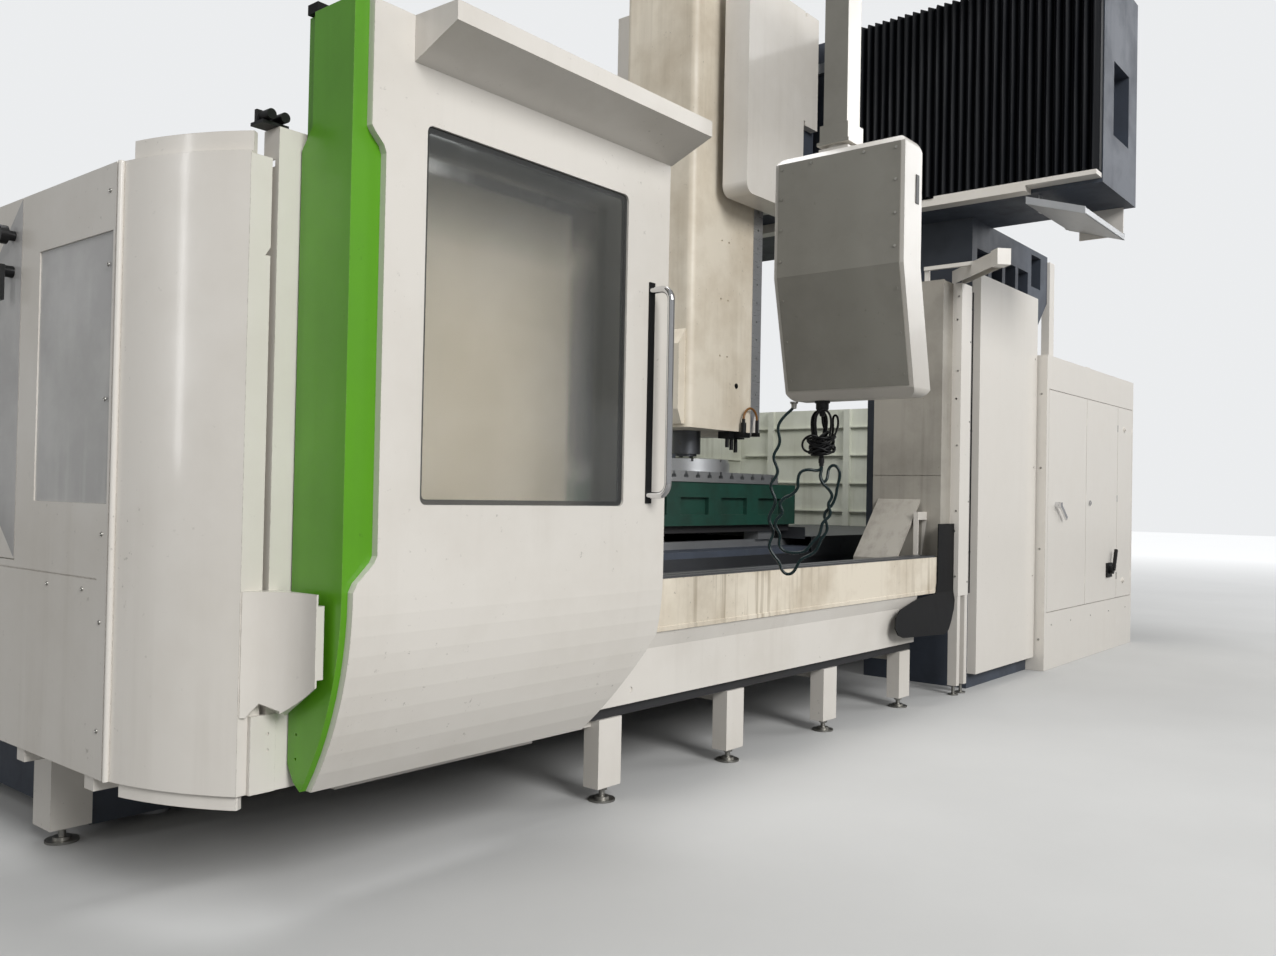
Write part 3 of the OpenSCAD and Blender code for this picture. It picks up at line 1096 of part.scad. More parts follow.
// Hose that hangs in a loop from the pendant's corner up to the cable's coupling
module hose_loop() {
  r = (hose_y - cord_y + 44) / 2;
  color([0.05, 0.2, 0.2]) translate([cord_x, hose_y - r, hose_z]) {
    translate([0, r, 0]) cylinder(d = 12, h = pen_z - gap - hose_z);
    translate([0, -r, 0]) cylinder(d = 12, h = pen_z - 300 - gap - hose_z);
    translate([0, 0, 0.5]) rotate([0, 90, 0]) rotate([0, 0, -90]) rotate_extrude(angle = 180) translate([r, 0]) circle(d = 12.4);
  }
}

// Shift of the whole machine so that the origin is the centre of its footprint
module centred() translate([-x_mid, -y_mid, 0]) children();

centred() bed();
centred() column_front();
centred() column_rear();
centred() crossbeam();
centred() beam_ledge();
centred() drip_trays();
centred() bellows_front();
centred() bellows_rear();
centred() corner_panel();
centred() end_wall();
centred() end_glass();
centred() end_door();
centred() end_latches();
centred() front_panel();
centred() guide_brackets();
centred() side_fairing();
centred() sill();
centred() sill_strip();
centred() lower_panel();
centred() legs();
centred() feet();
centred() inner_wall();
centred() column_cover();
centred() top_arm();
centred() apron();
centred() enclosure_rear();
centred() cabinet();
centred() cab_door_left();
centred() cab_door_right();
centred() cab_door_side();
centred() cab_handle();
centred() switch_lever();
centred() door_skin();
centred() door_frame();
centred() door_glass();
centred() door_canopy();
centred() door_handle();
centred() table_plate();
centred() table_casting();
centred() disc();
centred() cover_left_a();
centred() cover_left_b();
centred() cover_left_c();
centred() cover_right_a();
centred() cover_right_b();
centred() saddle();
centred() saddle_cover();
centred() ram();
centred() ram_rails();
centred() spindle();
centred() coolant_line();
centred() boom_arm();
centred() drop_arm();
centred() pendant_housing();
centred() pendant_back();
centred() pendant_screen();
centred() pendant_keys();
centred() estop();
centred() override_knob();
centred() pendant_cord();
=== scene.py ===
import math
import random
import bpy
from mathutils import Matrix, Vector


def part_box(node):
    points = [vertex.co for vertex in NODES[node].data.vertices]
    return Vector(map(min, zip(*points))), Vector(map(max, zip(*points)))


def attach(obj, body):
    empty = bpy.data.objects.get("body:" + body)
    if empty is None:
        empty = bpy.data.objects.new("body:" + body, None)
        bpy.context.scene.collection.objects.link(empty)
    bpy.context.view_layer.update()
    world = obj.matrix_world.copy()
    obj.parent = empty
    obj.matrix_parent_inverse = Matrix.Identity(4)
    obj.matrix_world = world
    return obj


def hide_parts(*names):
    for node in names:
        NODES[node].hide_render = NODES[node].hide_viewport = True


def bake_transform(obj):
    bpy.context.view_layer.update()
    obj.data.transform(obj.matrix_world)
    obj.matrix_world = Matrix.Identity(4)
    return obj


bl_info = {
    "name": "Double column machining centre",
    "version": (1, 0, 0),
    "blender": (4, 5, 0),
    "location": "3D View > Sidebar > Machine",
    "description": "Dresses the packed machining centre with paint, steel, glass and cloth",
    "category": "Object",
}

import bmesh
import bpy
from mathutils import Matrix, Vector

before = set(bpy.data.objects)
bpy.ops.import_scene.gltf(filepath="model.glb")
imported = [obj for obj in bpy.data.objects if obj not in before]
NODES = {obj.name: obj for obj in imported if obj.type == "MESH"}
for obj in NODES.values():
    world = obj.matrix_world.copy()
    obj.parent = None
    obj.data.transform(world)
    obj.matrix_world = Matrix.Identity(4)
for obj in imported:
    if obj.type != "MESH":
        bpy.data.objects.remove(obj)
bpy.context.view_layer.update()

# The machine's own drawing has its datum between the columns; the row frame
# has it at the middle of the footprint.
DATUM = Vector((0.026, 0.104, 0.0))

# The camera that the photo was taken with, solved from it: place, axes and lens
CAMERA_PLACE = (-5.849, -4.746, 1.25)
CAMERA_RIGHT = Vector((0.63460436, -0.77259502, 0.01934547))
CAMERA_UP = -Vector((0.02366571, -0.00559334, -0.99970428))
CAMERA_BACK = -Vector((0.77247475, 0.63487452, 0.01473445))
LENS_MM, SENSOR_MM = 30.19, 36

# Name, share of the lamp's power, place, target and size of each lamp
LAMPS = (("key", 1.0, (-8.0, -20.5, 12.0), (-1.0, -1.5, 1.3), 9.0),
         ("right", 0.07, (8.0, -8.0, 6.0), (3.0, -2.0, 1.5), 5.0),
         ("top", 0.12, (-1.2, 0.6, 10.0), (-1.0, 0.5, 0.0), 6.0),
         ("strip", 0.012, (-10.9, 0.2, 2.9), (-4.33, -1.8, 1.9), 0.35))
STRIP_HEIGHT = 3.0

# Cable gland and hose socket on the underside of the pendant, in drawing millimetres
CORD_X, CORD_Y = -2195.6, -2751
HOSE_Y = -2635
PENDANT_FOOT = 1626
# Directions in the floor plan: across the photo, and towards its camera
ACROSS, TOWARDS = (0.635, -0.773), (-0.773, -0.635)

# Turned fittings of the cords, as (radius, height) pairs in metres
GLAND = ((0.030, 0.0), (0.030, -0.008), (0.025, -0.010), (0.025, -0.030), (0.022, -0.036),
         (0.013, -0.040), (0.0115, -0.052), (0.0085, -0.060), (0.0048, -0.0605))
COUPLING = ((0.0048, 0.0), (0.009, -0.002), (0.009, -0.010), (0.0115, -0.012),
            (0.0115, -0.030), (0.009, -0.032), (0.009, -0.042), (0.0055, -0.044))
SOCKET = ((0.016, 0.0), (0.016, -0.006), (0.011, -0.009), (0.010, -0.026), (0.0055, -0.028))

# Routes of the cords from the gland, in millimetres: across, down and towards the camera
HANK_START = ((12, 104, -22), (26, 150, -28), (20, 192, -28))
HANK_END = ((-40, 132, 38), (-66, 142, 30), (-84, 168, 22), (-74, 198, 24), (-46, 206, 34),
            (-10, 186, 42), (34, 150, 30), (58, 112, 10), (64, 74, 2), (58, 46, -8),
            (44, 52, -22), (50, 96, -30), (44, 150, -38), (16, 186, -30), (2, 184, -12))
LONG_ROUTE = (
    (-111, 31, -58), (-136, 54, -58), (-164, 97, -58), (-156, 164, -56), (-181, 218, -54),
    (-162, 281, -52), (-191, 332, -50), (-170, 398, -46), (-197, 465, -42), (-177, 519, -38),
    (-195, 570, -34), (-175, 609, -30), (-154, 633, -28), (-146, 662, -26), (-125, 681, -24),
    (-101, 674, -22), (-86, 648, -20), (-72, 621, -18), (-45, 607, -17), (-13, 586, -14),
    (4, 543, -10), (30, 500, -10), (16, 441, -8), (45, 406, -6), (59, 371, -4), (63, 336, 0),
    (71, 300, 4), (69, 267, 4), (51, 248, 0), (32, 257, -4), (26, 281, 0), (22, 304, 8),
    (9, 320, 10), (-2, 306, 8), (-4, 285, 6))
SHORT_ROUTE = (
    (-19, 273, 4), (-45, 269, 6), (-80, 277, 4), (-91, 308, 0), (-89, 340, -6),
    (-111, 367, -10), (-142, 382, -12), (-160, 406, -12), (-146, 437, -12), (-177, 480, -14),
    (-154, 527, -16), (-158, 566, -16), (-134, 590, -14), (-95, 595, -8), (-56, 586, 0),
    (-33, 554, 6), (-5, 523, 10), (6, 476, 10), (38, 441, 10), (26, 402, 12), (43, 371, 14),
    (26, 343, 18), (2, 320, 20), (-7, 293, 14))
CABLE_STEP, HOSE_STEP = 0.0045, 0.004

# Film that coolant leaves on the white sheets, and the primer where their edges are worn
STAIN, PRIMER = (0.33, 0.29, 0.225), (0.22, 0.19, 0.15)

# Nodes with curved sheets, shaded smooth
ROUNDED = ("corner_panel", "door_skin", "door_frame", "pendant_housing", "pendant_back",
           "saddle_cover")


def at(x, y, z):
    """A point of the machine drawing, in millimetres, as a row frame vector."""
    return Vector((x, y, z)) / 1000 + DATUM


def drawing(p):
    """A row frame vector as machine drawing millimetres."""
    return (p - DATUM) * 1000


# ---------------------------------------------------------------- settings


class SheetPaint(bpy.types.PropertyGroup):
    """Colours of the sheet metal enclosure."""

    white: bpy.props.FloatVectorProperty(
        name="White", description="Warm white of the enclosure sheets",
        subtype="COLOR", size=3, min=0, max=1, default=(0.72, 0.685, 0.63))
    cream: bpy.props.FloatVectorProperty(
        name="Cream", description="Older cream paint of the ram and the sill",
        subtype="COLOR", size=3, min=0, max=1, default=(0.76, 0.69, 0.57))
    green: bpy.props.FloatVectorProperty(
        name="Green", description="Bright green of the door edge",
        subtype="COLOR", size=3, min=0, max=1, default=(0.10, 0.33, 0.006))
    inner: bpy.props.FloatVectorProperty(
        name="Inner grey", description="Grey of the sheets inside the work space",
        subtype="COLOR", size=3, min=0, max=1, default=(0.37, 0.345, 0.30))
    roughness: bpy.props.FloatProperty(
        name="Roughness", description="Roughness of clean paint", subtype="FACTOR",
        min=0, max=1, default=0.34)


class CastingPaint(bpy.types.PropertyGroup):
    """Colours of castings and machined parts."""

    column: bpy.props.FloatVectorProperty(
        name="Column", description="Blue grey of the columns and the crossbeam",
        subtype="COLOR", size=3, min=0, max=1, default=(0.058, 0.070, 0.094))
    table: bpy.props.FloatVectorProperty(
        name="Table", description="Dark green of the table casting",
        subtype="COLOR", size=3, min=0, max=1, default=(0.012, 0.060, 0.042))
    steel: bpy.props.FloatVectorProperty(
        name="Steel", description="Ground steel", subtype="COLOR", size=3,
        min=0, max=1, default=(0.52, 0.53, 0.54))


class HoseSizes(bpy.types.PropertyGroup):
    """Sizes of the cable and the hose under the pendant."""

    cable: bpy.props.FloatProperty(
        name="Cable", description="Diameter of the black cable in the hank",
        subtype="DISTANCE", unit="LENGTH", min=0.004, max=0.02, default=0.009)
    hose: bpy.props.FloatProperty(
        name="Hose", description="Diameter of the coiled hose",
        subtype="DISTANCE", unit="LENGTH", min=0.004, max=0.02, default=0.012)
    bights: bpy.props.IntProperty(
        name="Bights", description="Long loops of cable in the hank", min=2, max=6, default=4)
    turns: bpy.props.IntProperty(
        name="Turns", description="Turns of cable around the hank", min=6, max=16, default=14)


class StageLook(bpy.types.PropertyGroup):
    """Floor and light."""

    floor: bpy.props.FloatVectorProperty(
        name="Floor", description="Pale floor", subtype="COLOR", size=3,
        min=0, max=1, default=(0.58, 0.58, 0.57))
    sky: bpy.props.FloatProperty(
        name="Sky", description="Strength of the even light from all round",
        min=0, max=2, default=0.37)
    lamp: bpy.props.FloatProperty(
        name="Lamp", description="Power of the large soft lamp", subtype="POWER",
        unit="POWER", min=0, max=20000, default=3800)


# ------------------------------------------------------------- node helpers


class Tree:
    """Short calls for adding and joining shader nodes."""

    def __init__(self, tree):
        self.tree = tree

    def add(self, kind, inputs=None, **props):
        n = self.tree.nodes.new(kind)
        for key, value in props.items():
            setattr(n, key, value)
        for key, value in (inputs or {}).items():
            if isinstance(value, bpy.types.NodeSocket):
                self.tree.links.new(value, n.inputs[key])
            else:
                n.inputs[key].default_value = value
        return n

    def maths(self, op, a, b=0.0, clamp=False):
        return self.add("ShaderNodeMath", {0: a, 1: b}, operation=op, use_clamp=clamp).outputs[0]

    def ramp(self, value, low, high, to_low=0.0, to_high=1.0):
        n = self.add("ShaderNodeMapRange",
                     {"Value": value, "From Min": low, "From Max": high,
                      "To Min": to_low, "To Max": to_high})
        return n.outputs[0]

    def noise(self, vector, scale, detail=4.0, rough=0.55):
        n = self.add("ShaderNodeTexNoise",
                     {"Vector": vector, "Scale": scale, "Detail": detail, "Roughness": rough})
        return n.outputs[0]

    def blend(self, factor, a, b, how="MIX"):
        n = self.add("ShaderNodeMix", data_type="RGBA", blend_type=how)
        for index, value in ((0, factor), (6, a), (7, b)):
            if isinstance(value, bpy.types.NodeSocket):
                self.tree.links.new(value, n.inputs[index])
            elif index:
                n.inputs[index].default_value = (*value[:3], 1)
            else:
                n.inputs[index].default_value = value
        return n.outputs[2]

    def stretched(self, vector, scale):
        return self.add("ShaderNodeMapping", {"Vector": vector, "Scale": scale}).outputs[0]


def new_group(name, inputs, outputs):
    """A shader node group with named sockets; returns it with its helper."""
    g = bpy.data.node_groups.new(name, "ShaderNodeTree")
    for label, default in inputs:
        s = g.interface.new_socket(name=label, in_out="INPUT", socket_type="NodeSocketFloat")
        s.default_value = default
    for label in outputs:
        g.interface.new_socket(name=label, in_out="OUTPUT", socket_type="NodeSocketFloat")
    t = Tree(g)
    return g, t, t.add("NodeGroupInput"), t.add("NodeGroupOutput")


GROUPS = {}


def build_weathering():
    """Blotches, run marks, specks and worn edges, as masks from 0 to 1."""
    g, t, i, o = new_group(
        "weathering",
        [("Blotch Scale", 1.6), ("Run Scale", 9.0), ("Speck Scale", 38.0), ("Edge Width", 0.004)],
        ["Blotch", "Run", "Speck", "Edge", "Fine"])
    p = t.add("ShaderNodeTexCoord").outputs["Object"]
    soft = t.noise(p, i.outputs["Blotch Scale"], 6, 0.6)
    tree = t.tree
    tree.links.new(t.ramp(soft, 0.42, 0.72), o.inputs["Blotch"])
    runs = t.noise(t.stretched(p, (1.0, 1.0, 0.045)), i.outputs["Run Scale"], 5, 0.6)
    patch = t.noise(p, 0.9, 2)
    tree.links.new(t.maths("MULTIPLY", t.ramp(runs, 0.50, 0.70), t.ramp(patch, 0.38, 0.62)),
                   o.inputs["Run"])
    spots = t.noise(p, i.outputs["Speck Scale"], 3, 0.7)
    near = t.noise(p, 2.3, 3)
    tree.links.new(t.maths("MULTIPLY", t.ramp(spots, 0.66, 0.74), t.ramp(near, 0.45, 0.62)),
                   o.inputs["Speck"])
    round_normal = t.add("ShaderNodeBevel", {"Radius": i.outputs["Edge Width"]},
                         samples=3).outputs[0]
    flat_normal = t.add("ShaderNodeNewGeometry").outputs["Normal"]
    dot = t.add("ShaderNodeVectorMath", {0: round_normal, 1: flat_normal},
                operation="DOT_PRODUCT").outputs["Value"]
    bent = t.maths("SUBTRACT", 1.0, dot)
    chips = t.noise(p, 55.0, 4, 0.7)
    tree.links.new(t.maths("MULTIPLY", t.ramp(bent, 0.015, 0.16), t.ramp(chips, 0.46, 0.60), True),
                   o.inputs["Edge"])
    tree.links.new(t.noise(p, 420.0, 2), o.inputs["Fine"])
    GROUPS["weathering"] = g


def build_brushing():
    """Fine lines of ground steel along X, with a slow mottle."""
    g, t, i, o = new_group("brushing", [("Line Scale", 260.0)], ["Lines", "Mottle", "Rust"])
    p = t.add("ShaderNodeTexCoord").outputs["Object"]
    lines = t.noise(t.stretched(p, (0.03, 1.0, 1.0)), i.outputs["Line Scale"], 3, 0.6)
    t.tree.links.new(lines, o.inputs["Lines"])
    t.tree.links.new(t.noise(p, 6.0, 5, 0.6), o.inputs["Mottle"])
    t.tree.links.new(t.ramp(t.noise(p, 21.0, 6, 0.65), 0.60, 0.74), o.inputs["Rust"])
    GROUPS["brushing"] = g


def build_cloth_dust():
    """Dust that lies on upward slopes and in patches, for bellows and rubber."""
    g, t, i, o = new_group("cloth_dust", [("Weave Scale", 700.0)], ["Dust", "Weave"])
    p = t.add("ShaderNodeTexCoord").outputs["Object"]
    normal = t.add("ShaderNodeNewGeometry").outputs["Normal"]
    up = t.add("ShaderNodeSeparateXYZ", {0: normal}).outputs[2]
    patch = t.noise(t.stretched(p, (1.0, 1.0, 0.3)), 5.0, 5, 0.6)
    upward = t.maths("MULTIPLY", t.ramp(up, 0.1, 0.9), 0.5)
    t.tree.links.new(t.maths("ADD", upward, t.ramp(patch, 0.5, 0.75, 0, 0.5)), o.inputs["Dust"])
    weave = t.add("ShaderNodeTexVoronoi", {"Vector": p, "Scale": i.outputs["Weave Scale"]})
    t.tree.links.new(weave.outputs["Distance"], o.inputs["Weave"])
    GROUPS["cloth_dust"] = g


def fresh(name):
    """An empty material with a Principled shader, its helper and the shader."""
    m = bpy.data.materials.new(name)
    m.use_nodes = True
    t = Tree(m.node_tree)
    shader = next(n for n in m.node_tree.nodes if n.type == "BSDF_PRINCIPLED")
    return m, t, shader


def use(t, group, values=None):
    """Adds a shared node group and returns its outputs."""
    n = t.add("ShaderNodeGroup")
    n.node_tree = GROUPS[group]
    for key, value in (values or {}).items():
        n.inputs[key].default_value = value
    return n.outputs


def scaled(colour, k):
    """The colour k times as bright, held at 1."""
    return tuple(min(1.0, c * k) for c in colour)


def paint(name, colour, dirt=(0.30, 0.26, 0.20), rough=0.34, blotch=0.22, run=0.30, speck=0.6,
          edge=0.5, bare=None, bump=0.08, coat=0.0, metallic=0.0, scale=1.6, run_scale=9.0):
    """Sprayed paint with stains, run marks, specks and worn edges."""
    m, t, shader = fresh(name)
    w = use(t, "weathering", {"Blotch Scale": scale, "Run Scale": run_scale})
    c = t.blend(t.maths("MULTIPLY", w["Blotch"], blotch), colour, scaled(dirt, 1.6), "MULTIPLY")
    c = t.blend(t.maths("MULTIPLY", w["Blotch"], blotch * 0.5), c, dirt)
    c = t.blend(t.maths("MULTIPLY", w["Run"], run), c, dirt)
    c = t.blend(t.maths("MULTIPLY", w["Speck"], speck), c, scaled(dirt, 0.45))
    c = t.blend(t.maths("MULTIPLY", w["Edge"], edge), c, bare or scaled(dirt, 0.8))
    t.tree.links.new(c, shader.inputs["Base Color"])
    r = t.maths("ADD", t.maths("MULTIPLY", w["Blotch"], 0.16), rough)
    r = t.maths("ADD", r, t.maths("MULTIPLY", w["Run"], 0.12), True)
    t.tree.links.new(r, shader.inputs["Roughness"])
    b = t.add("ShaderNodeBump", {"Height": w["Fine"], "Strength": bump, "Distance": 0.0006})
    t.tree.links.new(b.outputs[0], shader.inputs["Normal"])
    shader.inputs["Metallic"].default_value = metallic
    shader.inputs["Coat Weight"].default_value = coat
    shader.inputs["Coat Roughness"].default_value = 0.12
    return m


def steel(name, colour, rough=0.28, lines=0.25, rust=0.1, metallic=1.0, edge=0.3):
    """Ground or rolled steel with brushing, mottle and stains."""
    m, t, shader = fresh(name)
    s = use(t, "brushing")
    w = use(t, "weathering", {"Edge Width": 0.002})
    c = t.blend(t.maths("MULTIPLY", s["Mottle"], 0.5), colour, scaled(colour, 0.62))
    c = t.blend(t.maths("MULTIPLY", s["Rust"], rust), c, (0.16, 0.09, 0.045))
    c = t.blend(t.maths("MULTIPLY", w["Edge"], edge), c, scaled(colour, 1.5))
    t.tree.links.new(c, shader.inputs["Base Color"])
    r = t.maths("ADD", t.maths("MULTIPLY", s["Lines"], lines), rough)
    r = t.maths("ADD", r, t.maths("MULTIPLY", s["Rust"], 0.25), True)
    t.tree.links.new(r, shader.inputs["Roughness"])
    b = t.add("ShaderNodeBump", {"Height": s["Lines"], "Strength": 0.12, "Distance": 0.0004})
    t.tree.links.new(b.outputs[0], shader.inputs["Normal"])
    shader.inputs["Metallic"].default_value = metallic
    return m


def cloth(name, colour, dust_colour, rough=0.6, dust=0.25, shine=0.3):
    """Coated cloth or rubber with dust."""
    m, t, shader = fresh(name)
    d = use(t, "cloth_dust")
    w = use(t, "weathering", {"Edge Width": 0.006})
    c = t.blend(t.maths("MULTIPLY", d["Dust"], dust), colour, dust_colour)
    c = t.blend(t.maths("MULTIPLY", w["Edge"], 0.3), c, scaled(dust_colour, 1.2))
    c = t.blend(t.maths("MULTIPLY", w["Speck"], 0.4), c, dust_colour)
    t.tree.links.new(c, shader.inputs["Base Color"])
    r = t.maths("ADD", t.maths("MULTIPLY", d["Dust"], 0.2), rough, True)
    t.tree.links.new(r, shader.inputs["Roughness"])
    b = t.add("ShaderNodeBump", {"Height": d["Weave"], "Strength": 0.2, "Distance": 0.0005})
    t.tree.links.new(b.outputs[0], shader.inputs["Normal"])
    shader.inputs["Specular IOR Level"].default_value = shine
    return m


def pane(name, colour, rough, clear, film, shade=None):
    """Polycarbonate that coolant and wiping have hazed. Painted shade: it darkens to the tint
    of the last argument from its first to its second x and from its first to its second z."""
    m, t, shader = fresh(name)
    w = use(t, "weathering", {"Blotch Scale": 2.6, "Run Scale": 14.0, "Speck Scale": 90.0})
    c = t.blend(t.maths("MULTIPLY", w["Blotch"], 0.5), colour, film)
    c = t.blend(t.maths("MULTIPLY", w["Run"], 0.35), c, scaled(film, 1.1))
    c = t.blend(t.maths("MULTIPLY", w["Speck"], 0.5), c, scaled(film, 0.5))
    # Painted shade: the pane grows darker to a grey tint towards its right end and its top.
    if shade:
        x_from, x_to, z_from, z_to, shade_tint = shade
        p = t.add("ShaderNodeTexCoord").outputs["Object"]
        axes = t.add("ShaderNodeSeparateXYZ", {0: p}).outputs
        shade_amount = t.maths("MAXIMUM", t.ramp(axes[0], x_from, x_to), t.ramp(axes[2], z_from, z_to))
        c = t.blend(shade_amount, c, shade_tint)
    t.tree.links.new(c, shader.inputs["Base Color"])
    r = t.maths("ADD", t.maths("MULTIPLY", w["Blotch"], 0.10), rough)
    r = t.maths("ADD", r, t.maths("MULTIPLY", w["Run"], 0.10), True)
    t.tree.links.new(r, shader.inputs["Roughness"])
    b = t.add("ShaderNodeBump", {"Height": w["Blotch"], "Strength": 0.03, "Distance": 0.001})
    t.tree.links.new(b.outputs[0], shader.inputs["Normal"])
    shader.inputs["Transmission Weight"].default_value = clear
    shader.inputs["IOR"].default_value = 1.45
    return m


MATS = {}


def build_materials():
    """Every finish of the machine, by name."""
    scene = bpy.context.scene
    p, c = scene.sheet_paint, scene.casting_paint
    r = p.roughness
    top = at(*high("door_glass"))
    MATS.update(
        white=paint("sheet_white", p.white, STAIN, r - 0.04, blotch=0.14, run=0.13, speck=0.5,
                    edge=0.5, bare=PRIMER, coat=0.35),
        # Painted shade: the enclosure white at 0.78 of its brightness, a darker copy of the same
        # paint for the pendant housing.
        shell=paint("pendant_white_shaded", scaled(p.white, 0.78), STAIN, r - 0.04, blotch=0.14,
                    run=0.10, speck=0.5, edge=0.5, bare=PRIMER, coat=0.3),
        clean=paint("cabinet_white", scaled(p.white, 1.04), (0.36, 0.33, 0.28), r - 0.04,
                    blotch=0.06, run=0.04, speck=0.3, edge=0.4, bare=PRIMER, coat=0.35),
        cream=paint("ram_cream", p.cream, (0.30, 0.235, 0.15), r + 0.04, blotch=0.3, run=0.4,
                    speck=0.7, edge=0.6, bare=(0.17, 0.13, 0.09), scale=2.4),
        sill=paint("sill_cream", p.cream, (0.26, 0.20, 0.125), r + 0.06, blotch=0.35, run=0.75,
                   speck=0.8, edge=0.8, bare=(0.12, 0.10, 0.08), scale=3.0, run_scale=26.0),
        green=paint("door_green", p.green, (0.035, 0.075, 0.02), r, blotch=0.14, run=0.2,
                    speck=0.4, edge=0.45, bare=(0.30, 0.42, 0.16), coat=0.2),
        inner=paint("inner_grey", p.inner, (0.17, 0.155, 0.13), r + 0.12, blotch=0.35, run=0.45,
                    speck=0.7, edge=0.5, bare=(0.11, 0.10, 0.09), scale=2.2, run_scale=16.0),
        rear=paint("rear_wall", (0.66, 0.675, 0.585), (0.32, 0.31, 0.23), r + 0.1, blotch=0.25,
                   run=0.4, speck=0.6, edge=0.4, bare=(0.20, 0.19, 0.14), scale=1.8,
                   run_scale=14.0),
        casting=paint("column_grey", c.column, (0.05, 0.05, 0.05), 0.5, blotch=0.3, run=0.25,
                      speck=0.5, edge=0.6, bare=(0.22, 0.22, 0.21), bump=0.35, scale=3.0),
        table=paint("table_green", c.table, (0.02, 0.02, 0.015), 0.42, blotch=0.4, run=0.3,
                    speck=0.6, edge=0.7, bare=(0.10, 0.12, 0.10), bump=0.3, scale=4.0),
        # Taupe of the pendant back, also used as painted shade on the drop arm's left face.
        plate=paint("pendant_taupe_and_shade", (0.245, 0.236, 0.205), (0.16, 0.14, 0.12), 0.42, blotch=0.2,
                    run=0.12, speck=0.4, edge=0.5, bare=(0.14, 0.12, 0.10), scale=3.0),
        # Black that stands in for shade in recesses and under parts; the top of the crossbeam gets
        # it too.
        dark_paint=paint("shadow_black", (0.022, 0.022, 0.024), (0.05, 0.045, 0.04), 0.5,
                         blotch=0.4, run=0.4, speck=0.7, edge=0.5, bare=(0.10, 0.095, 0.09)),
        zinc_plate=paint("zinc_plate", (0.46, 0.36, 0.14), (0.25, 0.18, 0.08), 0.35, metallic=0.7),
        red=paint("stop_red", (0.55, 0.02, 0.012), (0.2, 0.02, 0.01), 0.28, blotch=0.1, run=0.0,
                  speck=0.3, edge=0.3, bare=(0.35, 0.05, 0.03), coat=0.3),
        steel=steel("ground_steel", c.steel, 0.30, lines=0.2, rust=0.12, metallic=0.8),
        rail=steel("rail_steel", (0.66, 0.665, 0.67), 0.22, lines=0.15, rust=0.08, metallic=0.7,
                   edge=0.8),
        cover=steel("way_cover_steel", (0.115, 0.12, 0.13), 0.34, lines=0.2, rust=0.2,
                    metallic=0.85, edge=0.6),
        sill_steel=steel("sill_steel", (0.17, 0.175, 0.185), 0.3, lines=0.2, rust=0.25,
                         metallic=0.9, edge=0.7),
        chrome=steel("polished_bar", (0.78, 0.78, 0.79), 0.07, lines=0.05, rust=0.03),
        zinc=steel("zinc_screw", (0.42, 0.41, 0.38), 0.32, lines=0.2, rust=0.3),
        bellows=cloth("bellows_black", (0.0028, 0.0034, 0.0052), (0.030, 0.031, 0.035), 0.46,
                      dust=0.08, shine=0.12),
        rubber=cloth("rubber_black", (0.005, 0.005, 0.0055), (0.04, 0.037, 0.034), 0.5,
                     dust=0.12, shine=0.2),
        plastic=cloth("plastic_black", (0.007, 0.007, 0.0075), (0.04, 0.04, 0.038), 0.36,
                      dust=0.1),
        cable=cloth("cable_black", (0.0025, 0.0025, 0.003), (0.02, 0.02, 0.018), 0.3,
                    dust=0.05, shine=0.2),
        hose=cloth("hose_teal", (0.0025, 0.013, 0.014), (0.02, 0.035, 0.035), 0.2,
                   dust=0.05, shine=0.35),
        brown=cloth("hose_brown", (0.20, 0.085, 0.018), (0.12, 0.09, 0.06), 0.3, dust=0.2),
        # The door pane gets painted shade towards its right end and its top.
        glass=pane("door_pane", (0.98, 0.95, 0.87), rough=0.10, clear=0.90,
                   film=(0.80, 0.76, 0.65),
                   shade=(top.x - 0.30, top.x - 0.14, top.z - 0.34, top.z - 0.05,
                          (0.36, 0.37, 0.36))),
        end_pane=pane("end_pane", (0.56, 0.55, 0.54), rough=0.14, clear=0.30,
                      film=(0.84, 0.83, 0.81)),
        screen=pane("screen_glass", (0.015, 0.017, 0.02), rough=0.12, clear=0.1,
                    film=(0.05, 0.05, 0.055)),
    )


# ------------------------------------------------------- painting the nodes


def paint_node(name, base, *rules):
    """Gives a CAD node its finishes: base, and for each (test, finish) the faces
    whose middle, in machine drawing millimetres, passes the test."""
    o = NODES[name]
    o.data.materials.clear()
    used = [base] + [r[1] for r in rules]
    for key in used:
        o.data.materials.append(MATS[key])
    index = [0] * len(o.data.polygons)
    for k, (test, _) in enumerate(rules, 1):
        for f in o.data.polygons:
            p = drawing(f.center)
            if test(p.x, p.y, p.z):
                index[f.index] = k
    o.data.polygons.foreach_set("material_index", index)
    o.data.update()
    if name in ROUNDED:
        o.data.shade_smooth()
        o.data.set_sharp_from_angle(angle=math.radians(20))


def low(name):
    """The lower corner of a node's box, in drawing millimetres."""
    return drawing(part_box(name)[0])


def high(name):
    """The upper corner of a node's box, in drawing millimetres."""
    return drawing(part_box(name)[1])


# ------------------------------------------------------------- mesh helpers


def mesh_object(name, bm, finish, smooth):
    """Turns a bmesh in row frame metres into an object, smooth below an angle in degrees."""
    mesh = bpy.data.meshes.new(name)
    bmesh.ops.recalc_face_normals(bm, faces=bm.faces)
    bm.to_mesh(mesh)
    bm.free()
    o = bpy.data.objects.new(name, mesh)
    bpy.context.scene.collection.objects.link(o)
    mesh.materials.append(MATS[finish])
    mesh.shade_smooth()
    mesh.set_sharp_from_angle(angle=math.radians(smooth))
    return o


def piece(name, bm, body, finish):
    """A piece of small hardware that rides on a body."""
    o = mesh_object(name, bm, finish, 35)
    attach(o, body)
    return o


